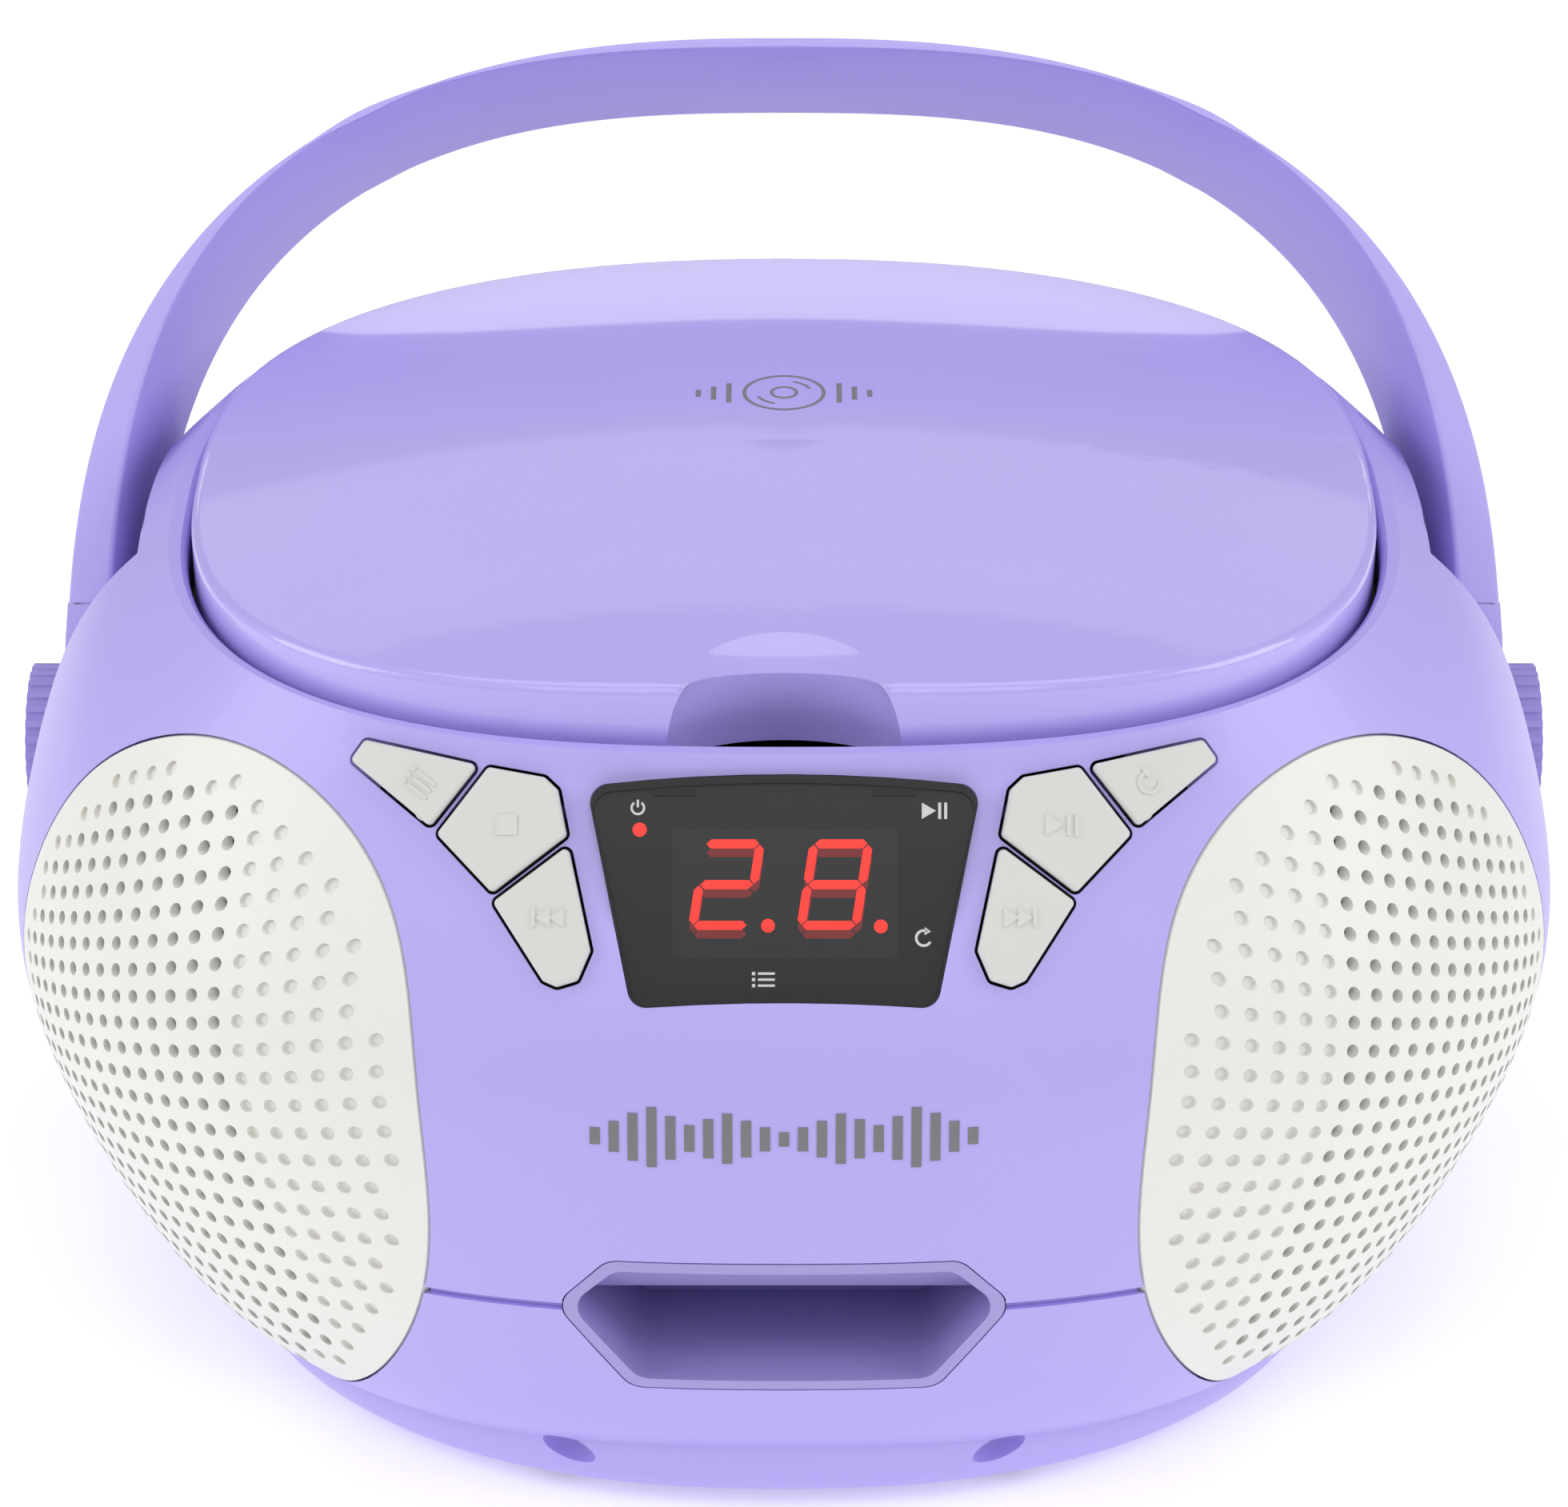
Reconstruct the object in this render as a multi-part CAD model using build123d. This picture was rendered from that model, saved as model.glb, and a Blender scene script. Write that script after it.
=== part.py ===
from build123d import *
import os
from math import cos, pi, radians, sin, tan

# Portable disc player: rounded cabinet in two halves, hinged lid, folding carry handle.
# Frame: +X right, -Y front, +Z up, origin on the floor under the middle of the cabinet.

# Cabinet
BODY_WIDTH = 232.0
BODY_DEPTH = 188.0
WAIST_HEIGHT = 70.0
RIM_HEIGHT = 121.7
SEAM_HEIGHT = 40.0
WALL = 3.0
DECK_TILT = 5.5
FOOT_HEIGHT = 2.5
FLOOR_THICKNESS = 4.5
PLINTH_HALF_WIDTH = 86.0
PLINTH_REACH = 85.5
BIG = 400.0

# Lid and disc well
LID_HALF_WIDTH = 87.6
LID_FRONT = -66.8
LID_REAR = 75.2
LID_ROUNDNESS = 2.7
LID_CREST = 12.6
LID_DOME_RADIUS = 520.0
LID_SKIRT = 4.0
LID_WALL = 2.2
LID_EDGE = 1.6
LID_GAP = 0.8
RIM_WIDTH = 3.0
SCOOP_HALF_WIDTH = 15.4
SCOOP_DEPTH = 13.0
HINGE_PIN_RADIUS = 1.2
HINGE_KNUCKLE_RADIUS = 2.6
HINGE_OFFSET = 26.0
HINGE_LENGTH = 10.0
RUN_GAP = 0.05

TRAY_DROP = 9.0
TRAY_THICKNESS = 2.0
DISC_RADIUS = 60.0
DISC_WELL_DEPTH = 5.0
DISC_CENTRE = 4.0
TURNTABLE_RADIUS = 15.0
CHASSIS_DROP = 24.0

# Speakers and grilles
SPEAKER_AZIMUTH = 52.0
GRILLE_HEIGHT = 60.0
GRILLE_SIDE = 2.0
GRILLE_MAJOR = 49.5
GRILLE_MINOR = 42.0
GRILLE_LEAN = 13.0
GRILLE_THICKNESS = 2.0
GRILLE_GAP = 0.25
GRILLE_LEDGE = 2.5
SPEAKER_RADIUS = 35.5
SPEAKER_SETBACK = 21.6
SPEAKER_DEPTH = 27.0

# Display and keys
DISPLAY_Y = -80.6
DISPLAY_Z = 98.7
DISPLAY_SLOPE = 62.5
WINDOW_TOP = 54.5
WINDOW_BOTTOM = 42.0
WINDOW_HEIGHT = 31.5
WINDOW_ARCH = 0.8
WINDOW_CORNER = 2.6
WINDOW_RECESS = 1.8
WINDOW_THICKNESS = 1.6
BOARD_DEPTH = 15.0
KEY_PROUD = 1.7
KEY_GAP = 0.3
KEY_EDGE = 0.6
KEY_CORNER = 0.9
KEY_TRAVEL = 1.2
KEY_FLOOR = -10.0
SWITCH_HEIGHT = 3.2

# Front port
PORT_TOP = 48.5
PORT_BOTTOM = 26.0
PORT_TOP_HALF = 24.7
PORT_HALF = 32.2
PORT_BOTTOM_HALF = 21.6
PORT_RIM = 1.6
PORT_DEPTH = 29.0
PORT_GAP = 0.2
PORT_CORNER = 3.6
PORT_WAIST_HALF = 28.8

# Handle
PIVOT_Y = 10.0
PIVOT_Z = 92.0
HANDLE_LEAN = 45.0
HANDLE_WIDTH = 25.0
HANDLE_REACH = 102.0
HANDLE_HALF_SPAN = 108.5
POCKET_GAP = 1.2
ARCH_POINTS = 5
ARCH_STEPS = 600
PIVOT_RADIUS = 3.0

# Side knobs
KNOB_RADIUS = 12.0
KNOB_Y = 30.0
KNOB_Z = 71.0
KNOB_FACE = 118.5
KNOB_THICKNESS = 9.0
KNOB_GAP = 0.5
KNOB_RIBS = 30
SHAFT_RADIUS = 3.0

# Rear panel
PANEL_HALF_WIDTH = 32.0
PANEL_LOW = 44.0
PANEL_HIGH = 84.0
PANEL_INSET = 4.0
JACK_RADIUS = 1.75
JACK_LENGTH = 12.0

# Battery bay for six C cells, and its door
CELL_LENGTH = 50.0
CELL_RADIUS = 13.1
BAY_WALL = 2.0
DOOR_THICKNESS = 1.8
DOOR_TRAVEL = 14.0

# Fasteners
SCREW_X = 32.0
SCREW_Y = 70.0
SCREW_RADIUS = 1.5
SCREW_WELL_RADIUS = 3.9
DIMPLE_X = 31.1
DIMPLE_REACH = 82.2
DIMPLE_HEIGHT = 10.2

half_width = BODY_WIDTH / 2
half_depth = BODY_DEPTH / 2
rim_half_width = LID_HALF_WIDTH + LID_GAP + RIM_WIDTH
rim_front = LID_FRONT - LID_GAP - RIM_WIDTH + 0.6
rim_rear = LID_REAR + LID_GAP + RIM_WIDTH + 1.6
floor_top = FOOT_HEIGHT + FLOOR_THICKNESS
deck = Pos(0, 0, RIM_HEIGHT) * Rot(DECK_TILT, 0, 0)
slope = radians(DISPLAY_SLOPE)
display_plane = Plane(
    origin=(0, DISPLAY_Y, DISPLAY_Z), x_dir=(1, 0, 0), z_dir=(0, -sin(slope), cos(slope))
)

# From the waist down: share of WAIST_HEIGHT, then shares of the half width and half depth.
LOWER_PROFILE = [
    (0.057, 0.60, 0.74, 0.74, 2.50),
    (0.115, 0.70, 0.85, 0.83, 2.50),
    (0.257, 0.825, 0.945, 0.93, 2.45),
    (0.571, 0.945, 1.00, 1.00, 2.40),
    (1.000, 1.00, 1.00, 1.00, 2.40),
]
# From the waist up: share of the rise to the rim, tilt share, then how much of the
# waist's outline is left over the rim's.
UPPER_PROFILE = [
    (0.387, 0.36, 0.84, 0.71, 0.96, 2.40),
    (0.696, 0.73, 0.59, 0.34, 0.69, 2.45),
    (0.870, 0.91, 0.31, 0.13, 0.34, 2.50),
    (1.000, 1.00, 0.00, 0.00, 0.00, 2.60),
]


def outline(width, front, rear, roundness, points=44):
    """Points of a superellipse, from the middle of the rear round to it again."""
    middle, reach = (front + rear) / 2, (rear - front) / 2
    ring = []
    for k in range(points):
        angle = pi / 2 + 2 * pi * k / points
        c, s = cos(angle), sin(angle)
        x = width * abs(c) ** (2 / roundness) * (1 if c >= 0 else -1)
        y = middle + reach * abs(s) ** (2 / roundness) * (1 if s >= 0 else -1)
        ring.append((x, y))
    return ring


def outline_face(width, front, rear, roundness, z=0.0, tilt=0.0):
    ring = [(x, y, z + y * tan(radians(tilt))) for x, y in outline(width, front, rear, roundness)]
    return Face(Wire([Spline(*ring, periodic=True)]))


def cabinet_form(inset):
    """The cabinet's closed outer form, drawn in by inset all round."""
    faces = []
    for share, wide, front, rear, roundness in LOWER_PROFILE:
        faces.append(
            outline_face(
                wide * half_width - inset, -front * half_depth + inset, rear * half_depth - inset,
                roundness, share * WAIST_HEIGHT,
            )
        )
    for share, lean, wide, front, rear, roundness in UPPER_PROFILE:
        z = WAIST_HEIGHT + share * (RIM_HEIGHT - WAIST_HEIGHT)
        w = rim_half_width + wide * (half_width - rim_half_width) - inset
        f = rim_front - front * (half_depth + rim_front) + inset
        r = rim_rear + rear * (half_depth - rim_rear) - inset
        faces.append(outline_face(w, f, r, roundness, z, lean * DECK_TILT))
    return loft(faces)


def slab(low, high):
    return Pos(0, 0, (low + high) / 2) * Box(BIG, BIG, high - low)


def prism(face, low, high):
    return extrude(Pos(0, 0, low) * face, high - low, dir=(0, 0, 1))


def both_sides(shape):
    return shape, mirror(shape, Plane.YZ)


def tube_x(x0, x1, radius, y, z):
    return Pos((x0 + x1) / 2, y, z) * Rot(0, 90, 0) * Cylinder(radius, x1 - x0)


def tube_y(y0, y1, radius, x, z):
    return Pos(x, (y0 + y1) / 2, z) * Rot(90, 0, 0) * Cylinder(radius, y1 - y0)


def tube_z(z0, z1, radius, x, y):
    return Pos(x, y, (z0 + z1) / 2) * Cylinder(radius, z1 - z0)


def block(x0, x1, y0, y1, z0, z1):
    return Pos((x0 + x1) / 2, (y0 + y1) / 2, (z0 + z1) / 2) * Box(x1 - x0, y1 - y0, z1 - z0)


outer_form = cabinet_form(0.0)
grille_form = cabinet_form(GRILLE_THICKNESS)
inner_form = cabinet_form(WALL)
groove_form = cabinet_form(0.9)
key_form = cabinet_form(-KEY_PROUD)
key_under_form = cabinet_form(WALL + 0.6)

pocket_face = outline_face(
    LID_HALF_WIDTH + LID_GAP, LID_FRONT - LID_GAP * 0.75, LID_REAR + LID_GAP, LID_ROUNDNESS
)


# ---- handle and the pockets that its arms turn in ----

def arch(half_span, reach, roundness, across):
    """Evenly spaced points of half the handle's arch, from the foot up to the middle."""
    fine = []
    for k in range(ARCH_STEPS + 1):
        angle = pi / 2 * k / ARCH_STEPS
        x = half_span * max(cos(angle), 0.0) ** (2 / roundness)
        fine.append(Vector(x, across, reach * sin(angle) ** (2 / roundness)))
    lengths = [0.0]
    for here, there in zip(fine, fine[1:]):
        lengths.append(lengths[-1] + (there - here).length)
    points = []
    for k in range(ARCH_POINTS):
        wanted = lengths[-1] * k / (ARCH_POINTS - 1)
        nearest = min(range(len(fine)), key=lambda i: abs(lengths[i] - wanted))
        points.append(fine[nearest])
    return points


def handle_section(outside, inside, across):
    over = Spline(*arch(*outside, across), tangents=[(0, 0, 1), (-1, 0, 0)])
    under = Spline(*arch(*inside, across), tangents=[(0, 0, 1), (-1, 0, 0)])
    foot = [
        (outside[0], across, 0), (outside[0], across, -HANDLE_WIDTH),
        (inside[0], across, -HANDLE_WIDTH), (inside[0], across, 0),
    ]
    legs = [Line(here, there) for here, there in zip(foot, foot[1:])]
    middle = Line((0, across, outside[1]), (0, across, inside[1]))
    return Face(Wire([over, under, middle] + legs))


def make_handle():
    w = HANDLE_WIDTH / 2
    front = handle_section(
        (HANDLE_HALF_SPAN, HANDLE_REACH, 2.5), (HANDLE_HALF_SPAN - 6.5, HANDLE_REACH - 2, 2.8), -w
    )
    rear = handle_section(
        (HANDLE_HALF_SPAN - 3.5, HANDLE_REACH + 1.5, 2.5),
        (HANDLE_HALF_SPAN - 10.0, HANDLE_REACH - 1, 2.8), w,
    )
    half = loft([front, rear], ruled=True)
    half &= slab(0, BIG / 2) + tube_x(-BIG / 2, BIG / 2, w, 0, 0)
    x = HANDLE_HALF_SPAN - 8.0
    half -= tube_x(x - 5.5, x + 5.5, PIVOT_RADIUS + RUN_GAP, 0, 0)
    strap = half + mirror(half, Plane.YZ)
    return Pos(0, PIVOT_Y, PIVOT_Z) * Rot(-HANDLE_LEAN, 0, 0) * strap


def handle_pocket(gap):
    """What the arms sweep from upright to folded back, grown by gap."""
    span, reach = HANDLE_HALF_SPAN - 10.0, HANDLE_REACH - 1
    radii = [0, 10, 20, 30, 40, 50, 60, 70, 78]
    edge = [(span * (1 - (r / reach) ** 2.8) ** (1 / 2.8) - gap, r) for r in radii]
    far = BIG / 2
    profile = Face(
        Wire([
            Spline(*edge),
            Line(edge[-1], (far, radii[-1])),
            Line((far, radii[-1]), (far, 0)),
            Line((far, 0), edge[0]),
        ])
    )
    swept = revolve(profile, Axis.X)
    w = HANDLE_WIDTH / 2 + gap
    wedge = Pos(BIG / 4, (BIG / 2 - w) / 2, (BIG / 2 - w) / 2) * Box(
        BIG / 2, BIG / 2 + w, BIG / 2 + w
    )
    corner = Pos(BIG / 4, -w / 2, -w / 2) * Box(BIG / 2, w, w)
    wedge = (wedge - corner) + (tube_x(0, BIG / 2, w, 0, 0) & corner)
    one = Pos(0, PIVOT_Y, PIVOT_Z) * (swept & wedge)
    return Compound(children=list(both_sides(one)))


# ---- lid ----

def dome(radius, drop):
    return Pos(0, 0, LID_CREST - drop - radius) * Sphere(radius)


def ellipsoid(centre, radii):
    return Pos(*centre) * scale(Sphere(1), by=radii)


def lid_face(inset):
    return outline_face(
        LID_HALF_WIDTH - inset, LID_FRONT + inset, LID_REAR - inset, LID_ROUNDNESS
    )


hinge_y = LID_REAR + 0.6 + HINGE_KNUCKLE_RADIUS
hinge_z = -0.6
scoop_centre = (0, LID_FRONT - 2.0, -2.0)
scoop_radii = (SCOOP_HALF_WIDTH + 1.4, SCOOP_DEPTH - 3.8, 20.0)
bowl_centre = (0, LID_FRONT - 2.0, LID_CREST + 0.4)
bowl_radii = (SCOOP_HALF_WIDTH + 4.2, SCOOP_DEPTH + 4.6, 6.4)


def grown(radii, extra):
    return tuple(radius + extra for radius in radii)


def make_lid():
    solid = prism(lid_face(0), -LID_SKIRT, 40) & dome(LID_DOME_RADIUS, 0)
    crown = solid.faces().sort_by(Axis.Z)[-1]
    solid = fillet(crown.edges(), LID_EDGE)
    brow = ellipsoid(
        scoop_centre, (SCOOP_HALF_WIDTH + 6.6, SCOOP_DEPTH + 15.0, LID_CREST + 0.6)
    )
    solid += brow & prism(lid_face(0.3), -LID_SKIRT, 40)
    hollow = prism(lid_face(LID_WALL), -30, 40) & dome(LID_DOME_RADIUS - LID_WALL, LID_WALL)
    hollow -= [
        ellipsoid(scoop_centre, grown(scoop_radii, LID_WALL)),
        ellipsoid(bowl_centre, grown(bowl_radii, LID_WALL)),
    ]
    lid = solid - [hollow, ellipsoid(scoop_centre, scoop_radii), ellipsoid(bowl_centre, bowl_radii)]
    for side in (-1, 1):
        low = side * HINGE_OFFSET - HINGE_LENGTH / 2
        high = low + HINGE_LENGTH
        arm = block(low, high, LID_REAR - LID_WALL - 1.5, hinge_y, hinge_z - 0.6, hinge_z + 2.4)
        knuckle = tube_x(low, high, HINGE_KNUCKLE_RADIUS, hinge_y, hinge_z)
        bore = tube_x(low - 1, high + 1, HINGE_PIN_RADIUS + RUN_GAP, hinge_y, hinge_z)
        lid = lid + arm + knuckle - bore
    return deck * lid


# ---- grilles and speakers, drawn for the left side ----

speaker_turn = radians(SPEAKER_AZIMUTH)
speaker_plane = Plane(
    origin=(0, 0, GRILLE_HEIGHT),
    x_dir=(cos(speaker_turn), -sin(speaker_turn), 0),
    z_dir=(-sin(speaker_turn), -cos(speaker_turn), 0),
)
speaker_front = (
    (sin(speaker_turn) / half_width) ** 2.4 + (cos(speaker_turn) / half_depth) ** 2.4
) ** (-1 / 2.4) - SPEAKER_SETBACK


def speaker_tube(low, high, radius, inner=0.0):
    tube = Pos(-GRILLE_SIDE, 0, (low + high) / 2) * Cylinder(radius, high - low)
    if inner:
        tube -= Pos(-GRILLE_SIDE, 0, (low + high) / 2) * Cylinder(inner, high - low)
    return speaker_plane.location * tube


def grille_prism(shrink):
    oval = Pos(-GRILLE_SIDE, 0) * Rot(0, 0, GRILLE_LEAN) * Ellipse(
        GRILLE_MINOR - shrink, GRILLE_MAJOR - shrink
    )
    return extrude(
        speaker_plane.location * Pos(0, 0, speaker_front - 30) * oval, BIG / 2,
        dir=speaker_plane.z_dir,
    )


def make_grille():
    return (grille_prism(GRILLE_GAP) & outer_form) - grille_form


def make_baffle():
    ring = speaker_tube(speaker_front, BIG / 2, SPEAKER_RADIUS, SPEAKER_RADIUS - 2.5)
    return ring & grille_form


def make_speaker_frame():
    low = speaker_front - SPEAKER_DEPTH
    flange = speaker_tube(speaker_front - 2.0, speaker_front, SPEAKER_RADIUS, SPEAKER_RADIUS - 4.5)
    rise = SPEAKER_DEPTH - 2.0
    middle = low + rise / 2
    outside = Cone(17.0, SPEAKER_RADIUS - 3.0, rise)
    inside = Cone(15.5, SPEAKER_RADIUS - 4.5, rise)
    basket = outside - inside
    for k in range(4):
        basket -= Rot(0, 0, 90 * k + 45) * Pos(24, 0, -2) * Box(14, 15, 12)
    basket = speaker_plane.location * Pos(-GRILLE_SIDE, 0, middle) * basket
    return flange + basket + speaker_tube(low - 1.5, low, 17.0, 9.0)


def make_speaker_magnet():
    low = speaker_front - SPEAKER_DEPTH - 1.5
    return speaker_tube(low - 11.0, low, 18.0) + speaker_tube(low, low + 8.0, 8.0)


def make_speaker_cone():
    low, high = speaker_front - 15.0, speaker_front - 0.3
    rise = high - low
    cone = Cone(9.5, SPEAKER_RADIUS - 8.0, rise) - Pos(0, 0, 0.8) * Cone(
        9.0, SPEAKER_RADIUS - 8.2, rise
    )
    cone = speaker_plane.location * Pos(-GRILLE_SIDE, 0, (low + high) / 2) * cone
    rim = speaker_tube(high - 1.2, high, SPEAKER_RADIUS - 4.5, SPEAKER_RADIUS - 8.6)
    cap = Pos(-GRILLE_SIDE, 0, low + 0.4) * (Sphere(10.0) & Pos(0, 0, 10) * Box(30, 30, 20))
    return cone + rim + speaker_plane.location * cap


# ---- display ----

def window_face(grow, top_grow=None):
    top = WINDOW_HEIGHT / 2 + (grow if top_grow is None else top_grow)
    bottom = -WINDOW_HEIGHT / 2 - grow
    wide, narrow = WINDOW_TOP / 2 + grow, WINDOW_BOTTOM / 2 + grow
    edges = [
        ThreePointArc((-wide, top - WINDOW_ARCH), (0, top + WINDOW_ARCH), (wide, top - WINDOW_ARCH)),
        Line((wide, top - WINDOW_ARCH), (narrow, bottom)),
        ThreePointArc((narrow, bottom), (0, bottom + WINDOW_ARCH), (-narrow, bottom)),
        Line((-narrow, bottom), (-wide, top - WINDOW_ARCH)),
    ]
    shape = Face(Wire(edges))
    return fillet(shape.vertices(), WINDOW_CORNER)


def in_display(shape):
    return display_plane.location * shape


window_back = -WINDOW_RECESS - WINDOW_THICKNESS


def make_window():
    return in_display(prism(window_face(-0.15), window_back, -WINDOW_RECESS))


def board_block(x0, x1, w0, w1, d0, d1):
    return in_display(block(x0, x1, w0, w1, d0, d1))


def make_display_module():
    return board_block(-17, 17, -10, 8.5, -BOARD_DEPTH, window_back - 3.0)


# ---- keys: left side drawn, right side mirrored ----

KEY_OUTLINES = {
    "program": [(-60.5, 18.8), (-58.3, 21.8), (-41.9, 18.0), (-48.9, 9.2)],
    "stop": [(-40.9, 17.8), (-32.9, 16.3), (-31.0, 14.5), (-29.7, 8.0), (-40.2, 0.0), (-48.2, 8.4)],
    "previous": [(-29.6, 7.0), (-26.4, -7.8), (-28.2, -12.0), (-31.2, -12.9), (-33.2, -12.0),
                 (-40.3, -1.0)],
}
KEY_PARTNERS = {"program": "repeat", "stop": "play_pause", "previous": "next"}
STEM_PLACES = {"program": (-49.6, 11.8), "stop": (-38.0, 8.5), "previous": (-32.5, -4.0)}
SWITCH_PLACES = {"program": (-49.6, 9.0), "stop": (-38.0, 8.5), "previous": (-32.5, -4.0)}
STEM_RADIUS = 1.6
SWITCH_SIZE = 4.0


def key_face(name, grow):
    outline_shape = Polygon(*KEY_OUTLINES[name], align=None)
    rounded = fillet(outline_shape.vertices(), KEY_CORNER)
    return offset(rounded, grow, kind=Kind.INTERSECTION) if grow else rounded


def make_key(name):
    column = in_display(prism(key_face(name, -KEY_GAP / 2), KEY_FLOOR, 20))
    cap = column & key_form
    out = display_plane.z_dir
    crown = max(cap.faces(), key=lambda face: face.center().dot(out))
    cap = fillet(crown.edges(), KEY_EDGE) - key_under_form
    x, w = STEM_PLACES[name]
    stem_end = -BOARD_DEPTH + SWITCH_HEIGHT + KEY_TRAVEL + 0.2
    stem = in_display(tube_z(stem_end, 4.0, STEM_RADIUS, x, w)) & outer_form
    return (cap + stem).solids().sort_by(SortBy.VOLUME)[-1]


def key_openings():
    cuts = []
    for name in KEY_OUTLINES:
        cut = prism(key_face(name, KEY_GAP), KEY_FLOOR - KEY_TRAVEL - 0.4, 20)
        cuts += list(both_sides(in_display(cut)))
    return cuts


def make_switches():
    switches = []
    for x, w in SWITCH_PLACES.values():
        body = board_block(
            x - SWITCH_SIZE / 2, x + SWITCH_SIZE / 2, w - SWITCH_SIZE / 2, w + SWITCH_SIZE / 2,
            -BOARD_DEPTH, -BOARD_DEPTH + SWITCH_HEIGHT - 1.0,
        )
        button = in_display(tube_z(
            -BOARD_DEPTH + SWITCH_HEIGHT - 1.0, -BOARD_DEPTH + SWITCH_HEIGHT, 1.4, x, w
        ))
        switches += list(both_sides(body + button))
    return switches


def make_front_board():
    return board_block(-54, 54, -14, 11, -BOARD_DEPTH - 1.6, -BOARD_DEPTH)


def board_posts():
    posts = []
    for x, w in ((-44, -9), (44, -9), (-22, -11.5), (22, -11.5)):
        post = in_display(tube_z(-BOARD_DEPTH, 12, 2.2, x, w))
        posts.append((post & outer_form) - in_display(prism(window_face(0), -7.0, 20)))
    return posts


# ---- front port ----

def port_face(grow):
    middle = (PORT_TOP + PORT_BOTTOM) / 2 + 3.2
    top_half = PORT_TOP_HALF + grow * 0.6
    middle_half = PORT_HALF + grow * 1.2
    bottom_half = PORT_BOTTOM_HALF + grow * 0.6
    corners = [
        (-top_half, PORT_TOP + grow), (top_half, PORT_TOP + grow), (middle_half, middle),
        (bottom_half, PORT_BOTTOM - grow), (-bottom_half, PORT_BOTTOM - grow),
        (-middle_half, middle),
    ]
    shape = Polygon(*corners, align=None)
    return Plane.XZ.location * fillet(shape.vertices(), PORT_CORNER)


def port_prism(grow, front, back):
    """A prism of the port's outline between two depths, both measured along +Y."""
    return extrude(Pos(0, front, 0) * port_face(grow), back - front, dir=(0, 1, 0))


port_back = -half_depth + PORT_DEPTH
port_waist = -half_depth + 18.0
port_shelf = (PORT_TOP + PORT_BOTTOM) / 2 + 1.4


def port_funnel(grow, front, back):
    """The port's prism with its sides drawn in towards the waist, clear of the screw sleeves."""
    mouth, waist = PORT_HALF + 1.5 + grow, PORT_WAIST_HALF + grow
    plan = Polygon(
        (-mouth, front - 1), (mouth, front - 1), (waist, port_waist), (waist, back + 1),
        (-waist, back + 1), (-waist, port_waist), align=None,
    )
    return port_prism(grow, front, back) & prism(plan, PORT_BOTTOM - 10, PORT_TOP + 10)


def make_port():
    flange = port_prism(-PORT_GAP, -BIG / 2, -half_depth + 5.0) & outer_form
    deep = port_funnel(-PORT_GAP, -half_depth + 4.0, port_back)
    hollow = port_funnel(-PORT_RIM - PORT_GAP, -half_depth + 3.0, port_back - 2.0)
    mouth = port_prism(-PORT_RIM - PORT_GAP, -BIG / 2, -half_depth + 3.4)
    ramp = Face(Wire(Polyline(
        (0, -half_depth + 0.8, PORT_TOP), (0, -half_depth + 10.0, port_shelf),
        (0, port_back, port_shelf), (0, port_back, PORT_TOP + 6), (0, -half_depth + 0.8, PORT_TOP + 6),
        close=True,
    )))
    wedge = Pos(-PORT_HALF - 5, 0, 0) * extrude(ramp, 2 * PORT_HALF + 10, dir=(1, 0, 0))
    return (flange + deep) - ((hollow + mouth) - wedge)


# ---- battery bay and door ----

bay_half_length = CELL_LENGTH + 3.0
bay_front = 2.0 - 3 * CELL_RADIUS - 0.7
bay_rear = 2.0 + 3 * CELL_RADIUS + 0.7
bay_top = floor_top + 2 * CELL_RADIUS + 1.0
door_low = FOOT_HEIGHT + 0.15


def make_battery_door():
    plate = block(
        -bay_half_length - 1.2, bay_half_length + 1.2, bay_front - 1.2, bay_rear + 1.2,
        door_low, door_low + DOOR_THICKNESS,
    )
    for k in range(5):
        y = bay_rear - 6 + 1.6 * k
        plate -= block(-12, 12, y, y + 0.8, door_low - 1, door_low + 0.5)
    return plate


def make_contacts():
    strips = []
    for side in (-1, 1):
        face = side * bay_half_length
        for row in (-1, 0, 1):
            y = 2.0 + row * 2 * CELL_RADIUS
            z = floor_top + CELL_RADIUS
            inner = face - side * 0.5
            plate = block(min(face, inner), max(face, inner), y - 8, y + 8, z - 8, z + 8)
            strips.append(plate)
            tip = face - side * 2.2
            strips[-1] += Pos((inner + tip) / 2, y, z) * Rot(0, 90, 0) * Cylinder(3.2, 1.7)
    return strips


# ---- cabinet halves ----

def side_cup(grow):
    """The round recess of a side knob, right side, grown inwards by grow."""
    floor = KNOB_FACE - KNOB_THICKNESS - 0.8
    return tube_x(floor - grow, BIG / 2, KNOB_RADIUS + KNOB_GAP + grow, KNOB_Y, KNOB_Z)


cup_floor = KNOB_FACE - KNOB_THICKNESS - 0.8
panel_face = half_depth - PANEL_INSET
SWITCH_ROW = 74.0
SOCKET_ROW = 54.0
INLET_X = -16.0
JACK_X = 14.0
SLIDER_X = 14.0
SLIDER_TRAVEL = 4.0


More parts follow.
